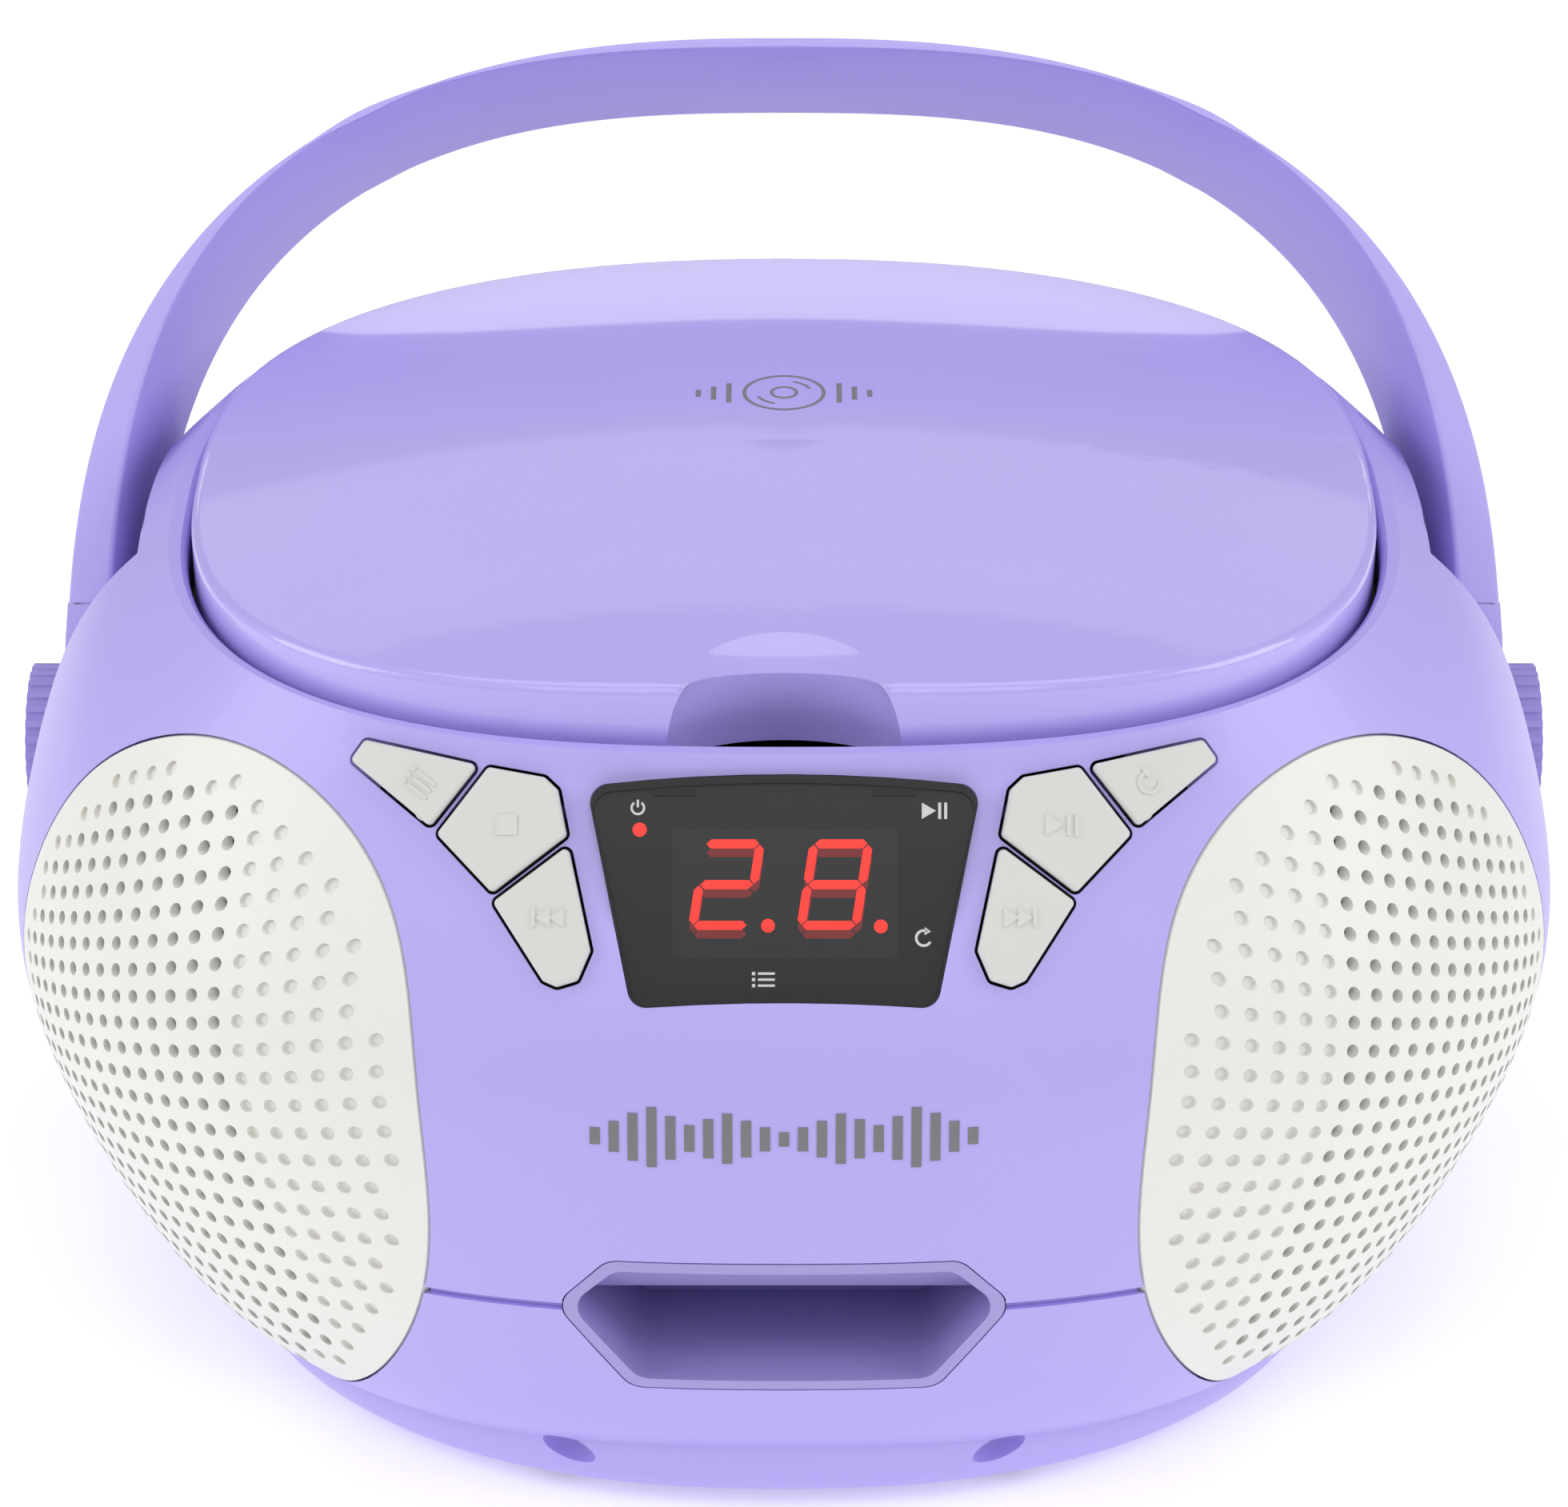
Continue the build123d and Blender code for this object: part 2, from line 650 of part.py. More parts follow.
def make_shell():
    cavity = inner_form & slab(floor_top, BIG)
    cavity -= deck * slab(-WALL, BIG)
    cavity -= handle_pocket(POCKET_GAP + WALL)
    for cup in both_sides(side_cup(WALL - 0.5)):
        cavity -= cup
    cavity -= block(
        -PANEL_HALF_WIDTH - WALL, PANEL_HALF_WIDTH + WALL, panel_face - WALL, BIG / 2,
        PANEL_LOW - WALL, PANEL_HIGH + WALL,
    )
    plinth = loft([
        outline_face(PLINTH_HALF_WIDTH - 7, -PLINTH_REACH + 6, PLINTH_REACH - 6, 2.3, FOOT_HEIGHT),
        outline_face(PLINTH_HALF_WIDTH, -PLINTH_REACH + 1, PLINTH_REACH - 1, 2.3, 6.5),
        outline_face(PLINTH_HALF_WIDTH, -PLINTH_REACH, PLINTH_REACH, 2.3, 11.0),
        outline_face(PLINTH_HALF_WIDTH - 3, -PLINTH_REACH + 2, PLINTH_REACH - 2, 2.3, 17.0),
    ])
    shell = (outer_form + plinth) - cavity
    panel = block(
        -PANEL_HALF_WIDTH, PANEL_HALF_WIDTH, panel_face, BIG / 2, PANEL_LOW, PANEL_HIGH
    )
    shell -= [handle_pocket(POCKET_GAP), panel] + list(both_sides(side_cup(0)))
    step = grille_prism(0) - grille_form
    opening = grille_prism(GRILLE_LEDGE)
    cuts = [port_prism(0, -BIG / 2, port_back + 5)]
    cuts += list(both_sides(step) + both_sides(opening))
    return shell - cuts


def screw_wells():
    """Wells and sleeves for the four cabinet screws, in the lower half."""
    sleeves, bores = [], []
    for x in (-SCREW_X, SCREW_X):
        for y in (-SCREW_Y, SCREW_Y):
            sleeves.append(tube_z(FOOT_HEIGHT + 2, 15.0, SCREW_WELL_RADIUS + 1.8, x, y))
            sleeves.append(tube_z(14.0, SEAM_HEIGHT, 2.8, x, y))
            bores.append(tube_z(0, 13.0, SCREW_WELL_RADIUS, x, y))
            bores.append(tube_z(12.0, SEAM_HEIGHT + 1, SCREW_RADIUS + 0.1, x, y))
    return sleeves, bores


def make_lower(shell):
    lower = shell & slab(0, SEAM_HEIGHT)
    lower -= slab(SEAM_HEIGHT - 0.6, SEAM_HEIGHT + 1) - groove_form
    bay = block(
        -bay_half_length - BAY_WALL, bay_half_length + BAY_WALL, bay_front - BAY_WALL,
        bay_rear + BAY_WALL, floor_top - 1, bay_top + BAY_WALL,
    )
    bay -= block(-bay_half_length, bay_half_length, bay_front, bay_rear, 0, bay_top)
    sleeves, cuts = screw_wells()
    adds = [bay] + [sleeve & outer_form for sleeve in sleeves]
    for x, y in board_feet():
        adds.append(tube_z(bay_top + BAY_WALL - 0.5, main_board_low, 2.5, x, y))
    cuts.append(
        block(-bay_half_length, bay_half_length, bay_front, bay_rear, 0, floor_top + 1)
    )
    cuts.append(
        block(
            -bay_half_length - 1.6, bay_half_length + 1.6, bay_front - 1.6,
            bay_rear + 2.0 + DOOR_TRAVEL, 0, door_low + DOOR_THICKNESS + 0.4,
        )
    )
    for side in (-1, 1):
        cuts.append(
            Pos(side * DIMPLE_X, -DIMPLE_REACH, DIMPLE_HEIGHT) * Rot(0, -side * 20, 0)
            * ellipsoid((0, 0, 0), (4.2, 3.6, 1.9))
        )
    return (lower + adds) - cuts


def rim_flare():
    """Rounds the inner edge of the rim that the lid closes into."""
    rings = []
    for rise, spread in ((-1.8, 0.0), (-0.6, 0.35), (0.15, 1.35)):
        gap = LID_GAP + spread
        rings.append(
            outline_face(
                LID_HALF_WIDTH + gap, LID_FRONT - LID_GAP * 0.75 - spread, LID_REAR + gap,
                LID_ROUNDNESS, rise,
            )
        )
    return loft(rings)


def make_upper(shell):
    upper = shell & slab(SEAM_HEIGHT, BIG)
    skirt_low = -TRAY_DROP - TRAY_THICKNESS - 1.5
    pocket_depth = TRAY_DROP + TRAY_THICKNESS
    skirt_face = outline_face(
        LID_HALF_WIDTH + LID_GAP + 2.2, LID_FRONT - LID_GAP * 0.75 - 2.2,
        LID_REAR + LID_GAP + 2.2, LID_ROUNDNESS,
    )
    ledge_face = outline_face(
        LID_HALF_WIDTH + LID_GAP - 3, LID_FRONT - LID_GAP * 0.75 + 3, LID_REAR + LID_GAP - 3,
        LID_ROUNDNESS,
    )
    skirt = (deck * prism(skirt_face, skirt_low, -0.5)) & outer_form
    frame_ring = in_display(prism(window_face(2.5), window_back - 2.4, 6)) & outer_form
    upper += [skirt, frame_ring]
    upper -= [
        deck * prism(pocket_face, -pocket_depth, 40), deck * prism(ledge_face, skirt_low - 1, 0),
        deck * rim_flare(),
    ]
    adds = board_posts()
    cuts = [
        in_display(prism(window_face(0), window_back, 30)),
        in_display(prism(window_face(-2.4, -5.0), -12, 0)),
        block(INLET_X - 10, INLET_X + 10, 60, 110, SOCKET_ROW - 6, SOCKET_ROW + 6),
        tube_y(70, 110, 4.1, JACK_X, SOCKET_ROW),
        slab(SEAM_HEIGHT - 1, SEAM_HEIGHT + 0.6) - groove_form,
    ]
    cuts += key_openings()
    for x in (-SCREW_X, SCREW_X):
        for y in (-SCREW_Y, SCREW_Y):
            boss = tube_z(SEAM_HEIGHT, 62.0, 2.8, x, y)
            wall_y = y * half_depth / abs(y)
            rib = block(x - 1, x + 1, min(y, wall_y), max(y, wall_y), SEAM_HEIGHT, 60.0)
            adds.append((boss + rib) & outer_form)
            cuts.append(tube_z(SEAM_HEIGHT - 1, 57.0, SCREW_RADIUS, x, y))
    for side in (-1, 1):
        middle = side * HINGE_OFFSET
        reach = HINGE_LENGTH / 2 + 0.3
        notch = tube_x(middle - reach, middle + reach, HINGE_KNUCKLE_RADIUS + 0.5, hinge_y, hinge_z)
        cuts.append(deck * notch)
        cuts.append(
            deck * block(middle - reach, middle + reach, LID_REAR - 3, hinge_y, hinge_z - 1.1, 10)
        )
        cuts.append(
            deck * tube_x(middle - 9, middle + 9, HINGE_PIN_RADIUS, hinge_y, hinge_z)
        )
        for end in (-1, 1):
            low = middle + end * (reach + 1.4) - 1.4
            lug = tube_x(low, low + 2.8, HINGE_KNUCKLE_RADIUS, hinge_y, hinge_z)
            lug += block(
                low, low + 2.8, hinge_y - HINGE_KNUCKLE_RADIUS + 0.2,
                hinge_y + HINGE_KNUCKLE_RADIUS - 0.2, -4.0, hinge_z,
            )
            adds.append(deck * lug)
        x = side * SLIDER_X
        cuts.append(block(x - 7, x + 7, 70, 110, SWITCH_ROW - 2.0, SWITCH_ROW + 2.0))
    cuts += both_sides(tube_x(cup_floor - 6, BIG / 2, SHAFT_RADIUS + 0.3, KNOB_Y, KNOB_Z))
    cuts += both_sides(tube_x(80, BIG / 2, PIVOT_RADIUS, PIVOT_Y, PIVOT_Z))
    return (upper + adds) - cuts


# ---- disc deck ----

def at_disc(shape):
    return deck * Pos(0, DISC_CENTRE, 0) * shape


well_floor = -TRAY_DROP - DISC_WELL_DEPTH
rod_height = well_floor - 5.2
GROMMET_PLACES = [(-38, -33), (38, -33), (-38, 33), (38, 33)]


def make_tray():
    plate = prism(
        outline_face(
            LID_HALF_WIDTH + LID_GAP - 0.2, LID_FRONT - LID_GAP * 0.75 + 0.2,
            LID_REAR + LID_GAP - 0.2, LID_ROUNDNESS,
        ),
        -TRAY_DROP - TRAY_THICKNESS, -TRAY_DROP,
    )
    bowl = tube_z(
        well_floor - TRAY_THICKNESS, -TRAY_DROP, DISC_RADIUS + 4.5, 0, DISC_CENTRE
    )
    tray = plate + bowl - tube_z(well_floor, 0, DISC_RADIUS + 2.5, 0, DISC_CENTRE)
    tray = deck * tray
    tray -= at_disc(tube_z(-40, 0, TURNTABLE_RADIUS + 1.5, 0, 0))
    tray -= at_disc(block(-54, -8, -9, 9, -40, 0))
    for x, y in GROMMET_PLACES:
        tray += at_disc(tube_z(-CHASSIS_DROP - 1.5, well_floor - 1, 1.8, x, y))
    return tray


def make_grommets():
    rings = []
    for x, y in GROMMET_PLACES:
        ring = tube_z(-CHASSIS_DROP + 2, well_floor - TRAY_THICKNESS, 4.2, x, y)
        rings.append(at_disc(ring - tube_z(-60, 0, 1.8, x, y)))
    return rings


def make_chassis():
    plate = block(-84, 46, -40, 40, -CHASSIS_DROP, -CHASSIS_DROP + 2)
    plate -= tube_z(-60, 0, 3.0, 0, 0)
    plate -= block(-52, -10, -10, 10, -60, 0)
    plate -= block(-90, -61, 16.6, 27.4, -60, 0)
    for x, y in GROMMET_PLACES:
        plate -= tube_z(-60, 0, 2.2, x, y)
    for y in (-14, 14):
        for x in (-59, -9):
            plate += block(x - 2, x + 2, y - 2.6, y + 2.6, -CHASSIS_DROP + 1, rod_height + 2.6)
        plate -= tube_x(-62, -5, 1.5, y, rod_height)
    for x in (-59, -9):
        plate += block(x - 2, x + 2, 19, 25, -CHASSIS_DROP + 1, rod_height + 2.6)
    plate -= tube_x(-70, -5, 1.4 + RUN_GAP, 22, rod_height)
    return at_disc(plate)


def make_guide_rods():
    return [at_disc(tube_x(-61, -7, 1.5, y, rod_height)) for y in (-14, 14)]


sled_near, sled_far = -17.0, -27.0
sled_low = rod_height - 2.3


def make_sled():
    body = block(sled_far - 2, sled_near, -17, 26, sled_low, rod_height + 2.3)
    for y in (-14, 14):
        body -= tube_x(-60, 0, 1.5 + RUN_GAP, y, rod_height)
    body -= tube_x(-60, 0, 1.4 + RUN_GAP, 22, rod_height)
    return at_disc(body)


def make_lens():
    middle = (sled_near + sled_far) / 2
    return at_disc(tube_z(rod_height + 2.3, well_floor + 0.4, 3.4, middle, 0))


def make_lead_screw():
    return at_disc(tube_x(-64.5, -7, 1.4, 22, rod_height))


def make_sled_motor():
    motor = tube_x(-80, -61, 5.0, 22, rod_height)
    return at_disc(motor - tube_x(-66, -61, 1.4 + RUN_GAP, 22, rod_height))


def make_spindle_motor():
    can = tube_z(-CHASSIS_DROP - 9, -CHASSIS_DROP, 12.5, 0, 0)
    return at_disc(can - tube_z(-60, 0, 1.0 + RUN_GAP, 0, 0))


disc_seat = well_floor + 1.6


def make_turntable():
    plate = tube_z(disc_seat - 3.0, disc_seat, TURNTABLE_RADIUS, 0, 0)
    hub = Pos(0, 0, disc_seat + 1.6) * Cylinder(7.3, 3.2)
    hub = fillet(hub.edges().group_by(Axis.Z)[-1], 1.5)
    return at_disc(plate + hub)


def make_spindle_shaft():
    return at_disc(tube_z(-CHASSIS_DROP - 8.5, disc_seat - 3.0, 1.0, 0, 0))


# ---- boards, power and controls ----

main_board_low = bay_top + BAY_WALL + 3.0


def board_feet():
    return [(-4, -6), (48, -6), (-4, 38), (48, 38)]


def make_main_board():
    board = block(-8, 52, -10, 42, main_board_low, main_board_low + 1.6)
    top = main_board_low + 1.6
    for x, y, radius, height in ((6, 4, 5, 12), (20, 4, 4, 10), (6, 22, 4, 9), (44, 30, 3, 7)):
        board += tube_z(top - 0.2, top + height, radius, x, y)
    board += block(18, 34, 16, 30, top - 0.2, top + 2.4)
    board += block(12, 40, 35, 40, top - 0.2, top + 14)
    return board


def make_transformer():
    low = bay_top + BAY_WALL
    core = block(-52, -18, 6, 36, low, low + 28)
    return core + block(-47, -23, 1, 41, low + 5, low + 23)


def make_inlet():
    face = panel_face + 0.8
    body = block(INLET_X - 10, INLET_X + 10, 72, face, SOCKET_ROW - 6, SOCKET_ROW + 6)
    for side in (-1, 1):
        body -= tube_y(77, face + 1, 3.6, INLET_X + side * 4.0, SOCKET_ROW)
    body -= block(INLET_X - 4, INLET_X + 4, 77, face + 1, SOCKET_ROW - 2.6, SOCKET_ROW + 2.6)
    return body


def make_inlet_pins():
    return [tube_y(77, 87, 1.2, INLET_X + side * 4.0, SOCKET_ROW) for side in (-1, 1)]


jack_face = panel_face + 1.2


def make_jack():
    body = block(JACK_X - 5.5, JACK_X + 5.5, 73, panel_face - WALL, SOCKET_ROW - 6, SOCKET_ROW + 6)
    body += tube_y(panel_face - WALL - 1, jack_face, 4.1, JACK_X, SOCKET_ROW)
    body += tube_y(panel_face, jack_face, 5.6, JACK_X, SOCKET_ROW)
    return body - tube_y(jack_face - JACK_LENGTH, jack_face + 1, JACK_RADIUS, JACK_X, SOCKET_ROW)


def make_slide_switch(side):
    x = side * SLIDER_X
    back = panel_face - WALL
    body = block(x - 10, x + 10, back - 7, back, SWITCH_ROW - 4, SWITCH_ROW + 4)
    return body - block(x - 7, x + 7, back - 3.5, back + 1, SWITCH_ROW - 2, SWITCH_ROW + 2)


def make_slider(side):
    x = side * SLIDER_X
    back = panel_face - WALL
    cap = block(x - 2.6, x + 2.6, back - 3.2, panel_face + 1.6, SWITCH_ROW - 1.65, SWITCH_ROW + 1.65)
    for k in (-1, 0, 1):
        cap -= block(x + k * 1.5 - 0.3, x + k * 1.5 + 0.3, panel_face + 1, panel_face + 3,
                     SWITCH_ROW - 3, SWITCH_ROW + 3)
    return cap


def make_knob():
    face = Circle(KNOB_RADIUS) - PolarLocations(KNOB_RADIUS + 0.25, KNOB_RIBS) * Circle(0.75)
    knob = extrude(face, KNOB_THICKNESS)
    knob = Pos(KNOB_FACE - KNOB_THICKNESS, KNOB_Y, KNOB_Z) * Rot(0, 90, 0) * knob
    dish = tube_x(KNOB_FACE - 0.8, KNOB_FACE + 1, KNOB_RADIUS - 3.0, KNOB_Y, KNOB_Z)
    return knob - dish


def make_knob_shaft():
    return tube_x(cup_floor - 12, KNOB_FACE - KNOB_THICKNESS, SHAFT_RADIUS, KNOB_Y, KNOB_Z)


def make_control(width):
    back = cup_floor - (WALL - 0.5)
    body = block(back - 10, back - 2, KNOB_Y - width, KNOB_Y + width, KNOB_Z - 9, KNOB_Z + 3.6)
    body += tube_x(back - 3, back, 4.2, KNOB_Y, KNOB_Z)
    return body - tube_x(back - 12, back + 1, SHAFT_RADIUS + RUN_GAP, KNOB_Y, KNOB_Z)


def make_feet():
    feet = []
    for x in (-62, 62):
        for y in (-42, 42):
            foot = tube_z(0, FOOT_HEIGHT, 5.5, x, y)
            feet.append(chamfer(foot.edges().group_by(Axis.Z)[0], 0.6))
    return feet


def make_cabinet_screws():
    screws = []
    for x in (-SCREW_X, SCREW_X):
        for y in (-SCREW_Y, SCREW_Y):
            head = tube_z(10.2, 13.0, 2.9, x, y) - Pos(x, y, 10.2) * Box(3.6, 0.7, 2)
            head -= Pos(x, y, 10.2) * Box(0.7, 3.6, 2)
            screws.append(head + tube_z(12.8, 56.0, SCREW_RADIUS, x, y))
    return screws


AERIAL_Y = 61.0


def make_ferrite_rod():
    return tube_x(-52, 52, 4.0, AERIAL_Y, bay_top + 10)


def make_rod_brackets():
    brackets = []
    for x in (-40, 40):
        arm = block(x - 2, x + 2, AERIAL_Y - 5.2, AERIAL_Y + 5.2, floor_top, bay_top + 15)
        brackets.append(arm - tube_x(x - 4, x + 4, 4.0, AERIAL_Y, bay_top + 10))
    return brackets


def make_hinge_pins():
    pins = []
    for side in (-1, 1):
        reach = HINGE_LENGTH / 2 + 3.1
        middle = side * HINGE_OFFSET
        pin = tube_x(middle - reach, middle + reach, HINGE_PIN_RADIUS, hinge_y, hinge_z)
        pins.append(deck * pin)
    return pins


def make_handle_pins():
    low = HANDLE_HALF_SPAN - 10.0 - POCKET_GAP - WALL - 2.0
    pin = tube_x(low, HANDLE_HALF_SPAN - 3.2, PIVOT_RADIUS, PIVOT_Y, PIVOT_Z)
    pin += tube_x(low - 1.5, low + 2.0, PIVOT_RADIUS + 2.0, PIVOT_Y, PIVOT_Z)
    return list(both_sides(pin))


def build():
    shell = make_shell()
    grille, baffle, frame = make_grille(), make_baffle(), make_speaker_frame()
    magnet, cone = make_speaker_magnet(), make_speaker_cone()
    knob, shaft = make_knob(), make_knob_shaft()
    nodes = {
        "lower_cabinet": make_lower(shell),
        "upper_cabinet": make_upper(shell),
        "lid": make_lid(),
        "lid_hinge_pins": make_hinge_pins(),
        "handle": make_handle(),
        "handle_pivot_pins": make_handle_pins(),
        "display_window": make_window(),
        "display_module": make_display_module(),
        "front_board": make_front_board(),
        "key_switches": make_switches(),
        "port_insert": make_port(),
        "disc_tray": make_tray(),
        "mechanism_chassis": make_chassis(),
        "damper_grommets": make_grommets(),
        "guide_rods": make_guide_rods(),
        "pickup_sled": make_sled(),
        "pickup_lens": make_lens(),
        "lead_screw": make_lead_screw(),
        "sled_motor": make_sled_motor(),
        "spindle_motor": make_spindle_motor(),
        "spindle_shaft": make_spindle_shaft(),
        "turntable": make_turntable(),
        "main_board": make_main_board(),
        "power_transformer": make_transformer(),
        "mains_inlet": make_inlet(),
        "mains_inlet_pins": make_inlet_pins(),
        "audio_jack": make_jack(),
        "function_switch": make_slide_switch(-1),
        "function_slider": make_slider(-1),
        "band_switch": make_slide_switch(1),
        "band_slider": make_slider(1),
        "battery_door": make_battery_door(),
        "battery_contacts": make_contacts(),
        "rubber_feet": make_feet(),
        "cabinet_screws": make_cabinet_screws(),
        "aerial_rod": make_ferrite_rod(),
        "aerial_rod_brackets": make_rod_brackets(),
        "tuning_capacitor": make_control(9.0),
        "tuning_knob": knob,
        "tuning_shaft": shaft,
        "volume_control": mirror(make_control(8.0), Plane.YZ),
        "volume_knob": mirror(knob, Plane.YZ),
        "volume_shaft": mirror(shaft, Plane.YZ),
    }
    pairs = {"grille": grille, "baffle": baffle, "speaker_frame": frame,
             "speaker_magnet": magnet, "speaker_cone": cone}
    for name, shape in pairs.items():
        nodes["left_" + name] = shape
        nodes["right_" + name] = mirror(shape, Plane.YZ)
    for name, partner in KEY_PARTNERS.items():
        key = make_key(name)
        nodes[name + "_key"] = key
        nodes[partner + "_key"] = mirror(key, Plane.YZ)
    return nodes


def write(nodes):
    os.makedirs("parts", exist_ok=True)
    for name, shape in nodes.items():
        whole = Compound(children=list(shape)) if isinstance(shape, list) else shape
        export_step(whole, "parts/" + name + ".step")


if __name__ == "__main__":
    write(build())
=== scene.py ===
from math import atan2, cos, hypot, pi, radians, sin, tan

import bmesh
import bpy
from mathutils import Matrix, Vector
from mathutils.bvhtree import BVHTree
from mathutils.geometry import delaunay_2d_cdt


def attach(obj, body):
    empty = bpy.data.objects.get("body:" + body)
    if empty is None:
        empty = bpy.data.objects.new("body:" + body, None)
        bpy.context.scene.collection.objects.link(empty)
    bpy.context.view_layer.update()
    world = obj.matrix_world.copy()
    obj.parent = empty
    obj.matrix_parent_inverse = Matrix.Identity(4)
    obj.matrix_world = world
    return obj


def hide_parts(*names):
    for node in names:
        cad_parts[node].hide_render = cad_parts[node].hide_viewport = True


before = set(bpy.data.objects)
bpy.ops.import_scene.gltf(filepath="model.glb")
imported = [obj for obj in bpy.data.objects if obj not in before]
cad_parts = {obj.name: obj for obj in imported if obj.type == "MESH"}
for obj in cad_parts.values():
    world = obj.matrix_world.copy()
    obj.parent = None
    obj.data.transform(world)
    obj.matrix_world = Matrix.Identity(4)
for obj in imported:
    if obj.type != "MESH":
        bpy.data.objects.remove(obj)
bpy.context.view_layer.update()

# ---- Camera ----
# A long lens straight in front, looking down on the deck at about a quarter of a right
# angle, the way such players are shown in a shop.

CAMERA_HEIGHT_ANGLE = radians(25.0)
CAMERA_DISTANCE = 0.80
CAMERA_TARGET = Vector((0.0, 0.0, 0.0824))
CAMERA_LENS = 120.6
CAMERA_SENSOR = 36.0

camera_data = bpy.data.cameras.new("studio_camera")
camera_data.sensor_width = CAMERA_SENSOR
camera_data.lens = CAMERA_LENS
camera = bpy.data.objects.new("studio_camera", camera_data)
camera.location = CAMERA_TARGET + CAMERA_DISTANCE * Vector(
    (0, -cos(CAMERA_HEIGHT_ANGLE), sin(CAMERA_HEIGHT_ANGLE))
)
camera.rotation_euler = (pi / 2 - CAMERA_HEIGHT_ANGLE, 0, 0)
bpy.context.scene.collection.objects.link(camera)
bpy.context.scene.camera = camera

# ---- Studio ----
# A pale paper floor and big soft panels: one in front, one overhead, one each side, and two
# strips behind that draw the bright bands across the lid.


def soft_panel(name, place, aim, size, power):
    light = bpy.data.lights.new(name, "AREA")
    light.shape = "RECTANGLE"
    light.size, light.size_y = size
    light.energy = power
    panel = bpy.data.objects.new(name, light)
    panel.location = place
    panel.rotation_euler = (Vector(aim) - Vector(place)).to_track_quat("-Z", "Y").to_euler()
    bpy.context.scene.collection.objects.link(panel)


soft_panel("front_key", (0, -1.15, 1.25), (0, 0, 0.08), (1.4, 1.0), 6.2)
for name, side in (("left_panel", -1), ("right_panel", 1)):
    soft_panel(name, (side * 1.3, -0.35, 0.75), (0, 0, 0.07), (0.8, 0.9), 7.6)
soft_panel("overhead_panel", (0, 0.1, 1.5), (0, 0, 0.05), (1.2, 0.7), 4.2)
soft_panel("rear_low_strip", (0, 1.45, 0.58), (0, 0, 0.13), (1.9, 0.22), 1.5)
soft_panel("rear_high_strip", (0, 1.30, 1.17), (0, 0, 0.13), (1.3, 0.42), 1.1)

world = bpy.data.worlds.new("studio_world")
world.use_nodes = True
world.node_tree.nodes["Background"].inputs["Color"].default_value = (0.95, 0.95, 0.98, 1)
world.node_tree.nodes["Background"].inputs["Strength"].default_value = 0.36
bpy.context.scene.world = world
bpy.context.scene.view_settings.view_transform = "Standard"

FLOOR_REACH = 3.0
floor_mesh = bpy.data.meshes.new("studio_floor")
floor_mesh.from_pydata(
    [(-FLOOR_REACH, -FLOOR_REACH, 0), (FLOOR_REACH, -FLOOR_REACH, 0),
     (FLOOR_REACH, FLOOR_REACH, 0), (-FLOOR_REACH, FLOOR_REACH, 0)],
    [], [(0, 1, 2, 3)],
)
floor = bpy.data.objects.new("studio_floor", floor_mesh)
bpy.context.scene.collection.objects.link(floor)
floor_paper = bpy.data.materials.new("floor_paper")
floor_paper.use_nodes = True
paper_shader = floor_paper.node_tree.nodes["Principled BSDF"]
paper_shader.inputs["Base Color"].default_value = (0.93, 0.93, 0.94, 1)
paper_shader.inputs["Roughness"].default_value = 0.9
paper_shader.inputs["Emission Color"].default_value = (1, 1, 1, 1)
paper_shader.inputs["Emission Strength"].default_value = 0.3
floor_mesh.materials.append(floor_paper)

# ---- Cabinet and lid ----
# Injection-moulded ABS in one lilac, satin on the cabinet and handle and polished on the lid;
# the port insert is painted a little greyer and darker, as painted shade for its recess. The mould
# leaves a fine grain and faint flow marks.

FLOW_MARK_SCALE = 28.0
FLOW_MARK_DETAIL = 3.0
GLOSS_VARIATION = 0.10
GRAIN_HEIGHT = 0.0001
COAT_ROUGHNESS = 0.06


def linear(red, green, blue):
    """A screen colour, 0 to 255, as the linear colour that shaders take."""
    channels = []
    for value in (red, green, blue):
        share = value / 255
        channels.append(share / 12.92 if share <= 0.04045 else ((share + 0.055) / 1.055) ** 2.4)
    return (*channels, 1.0)


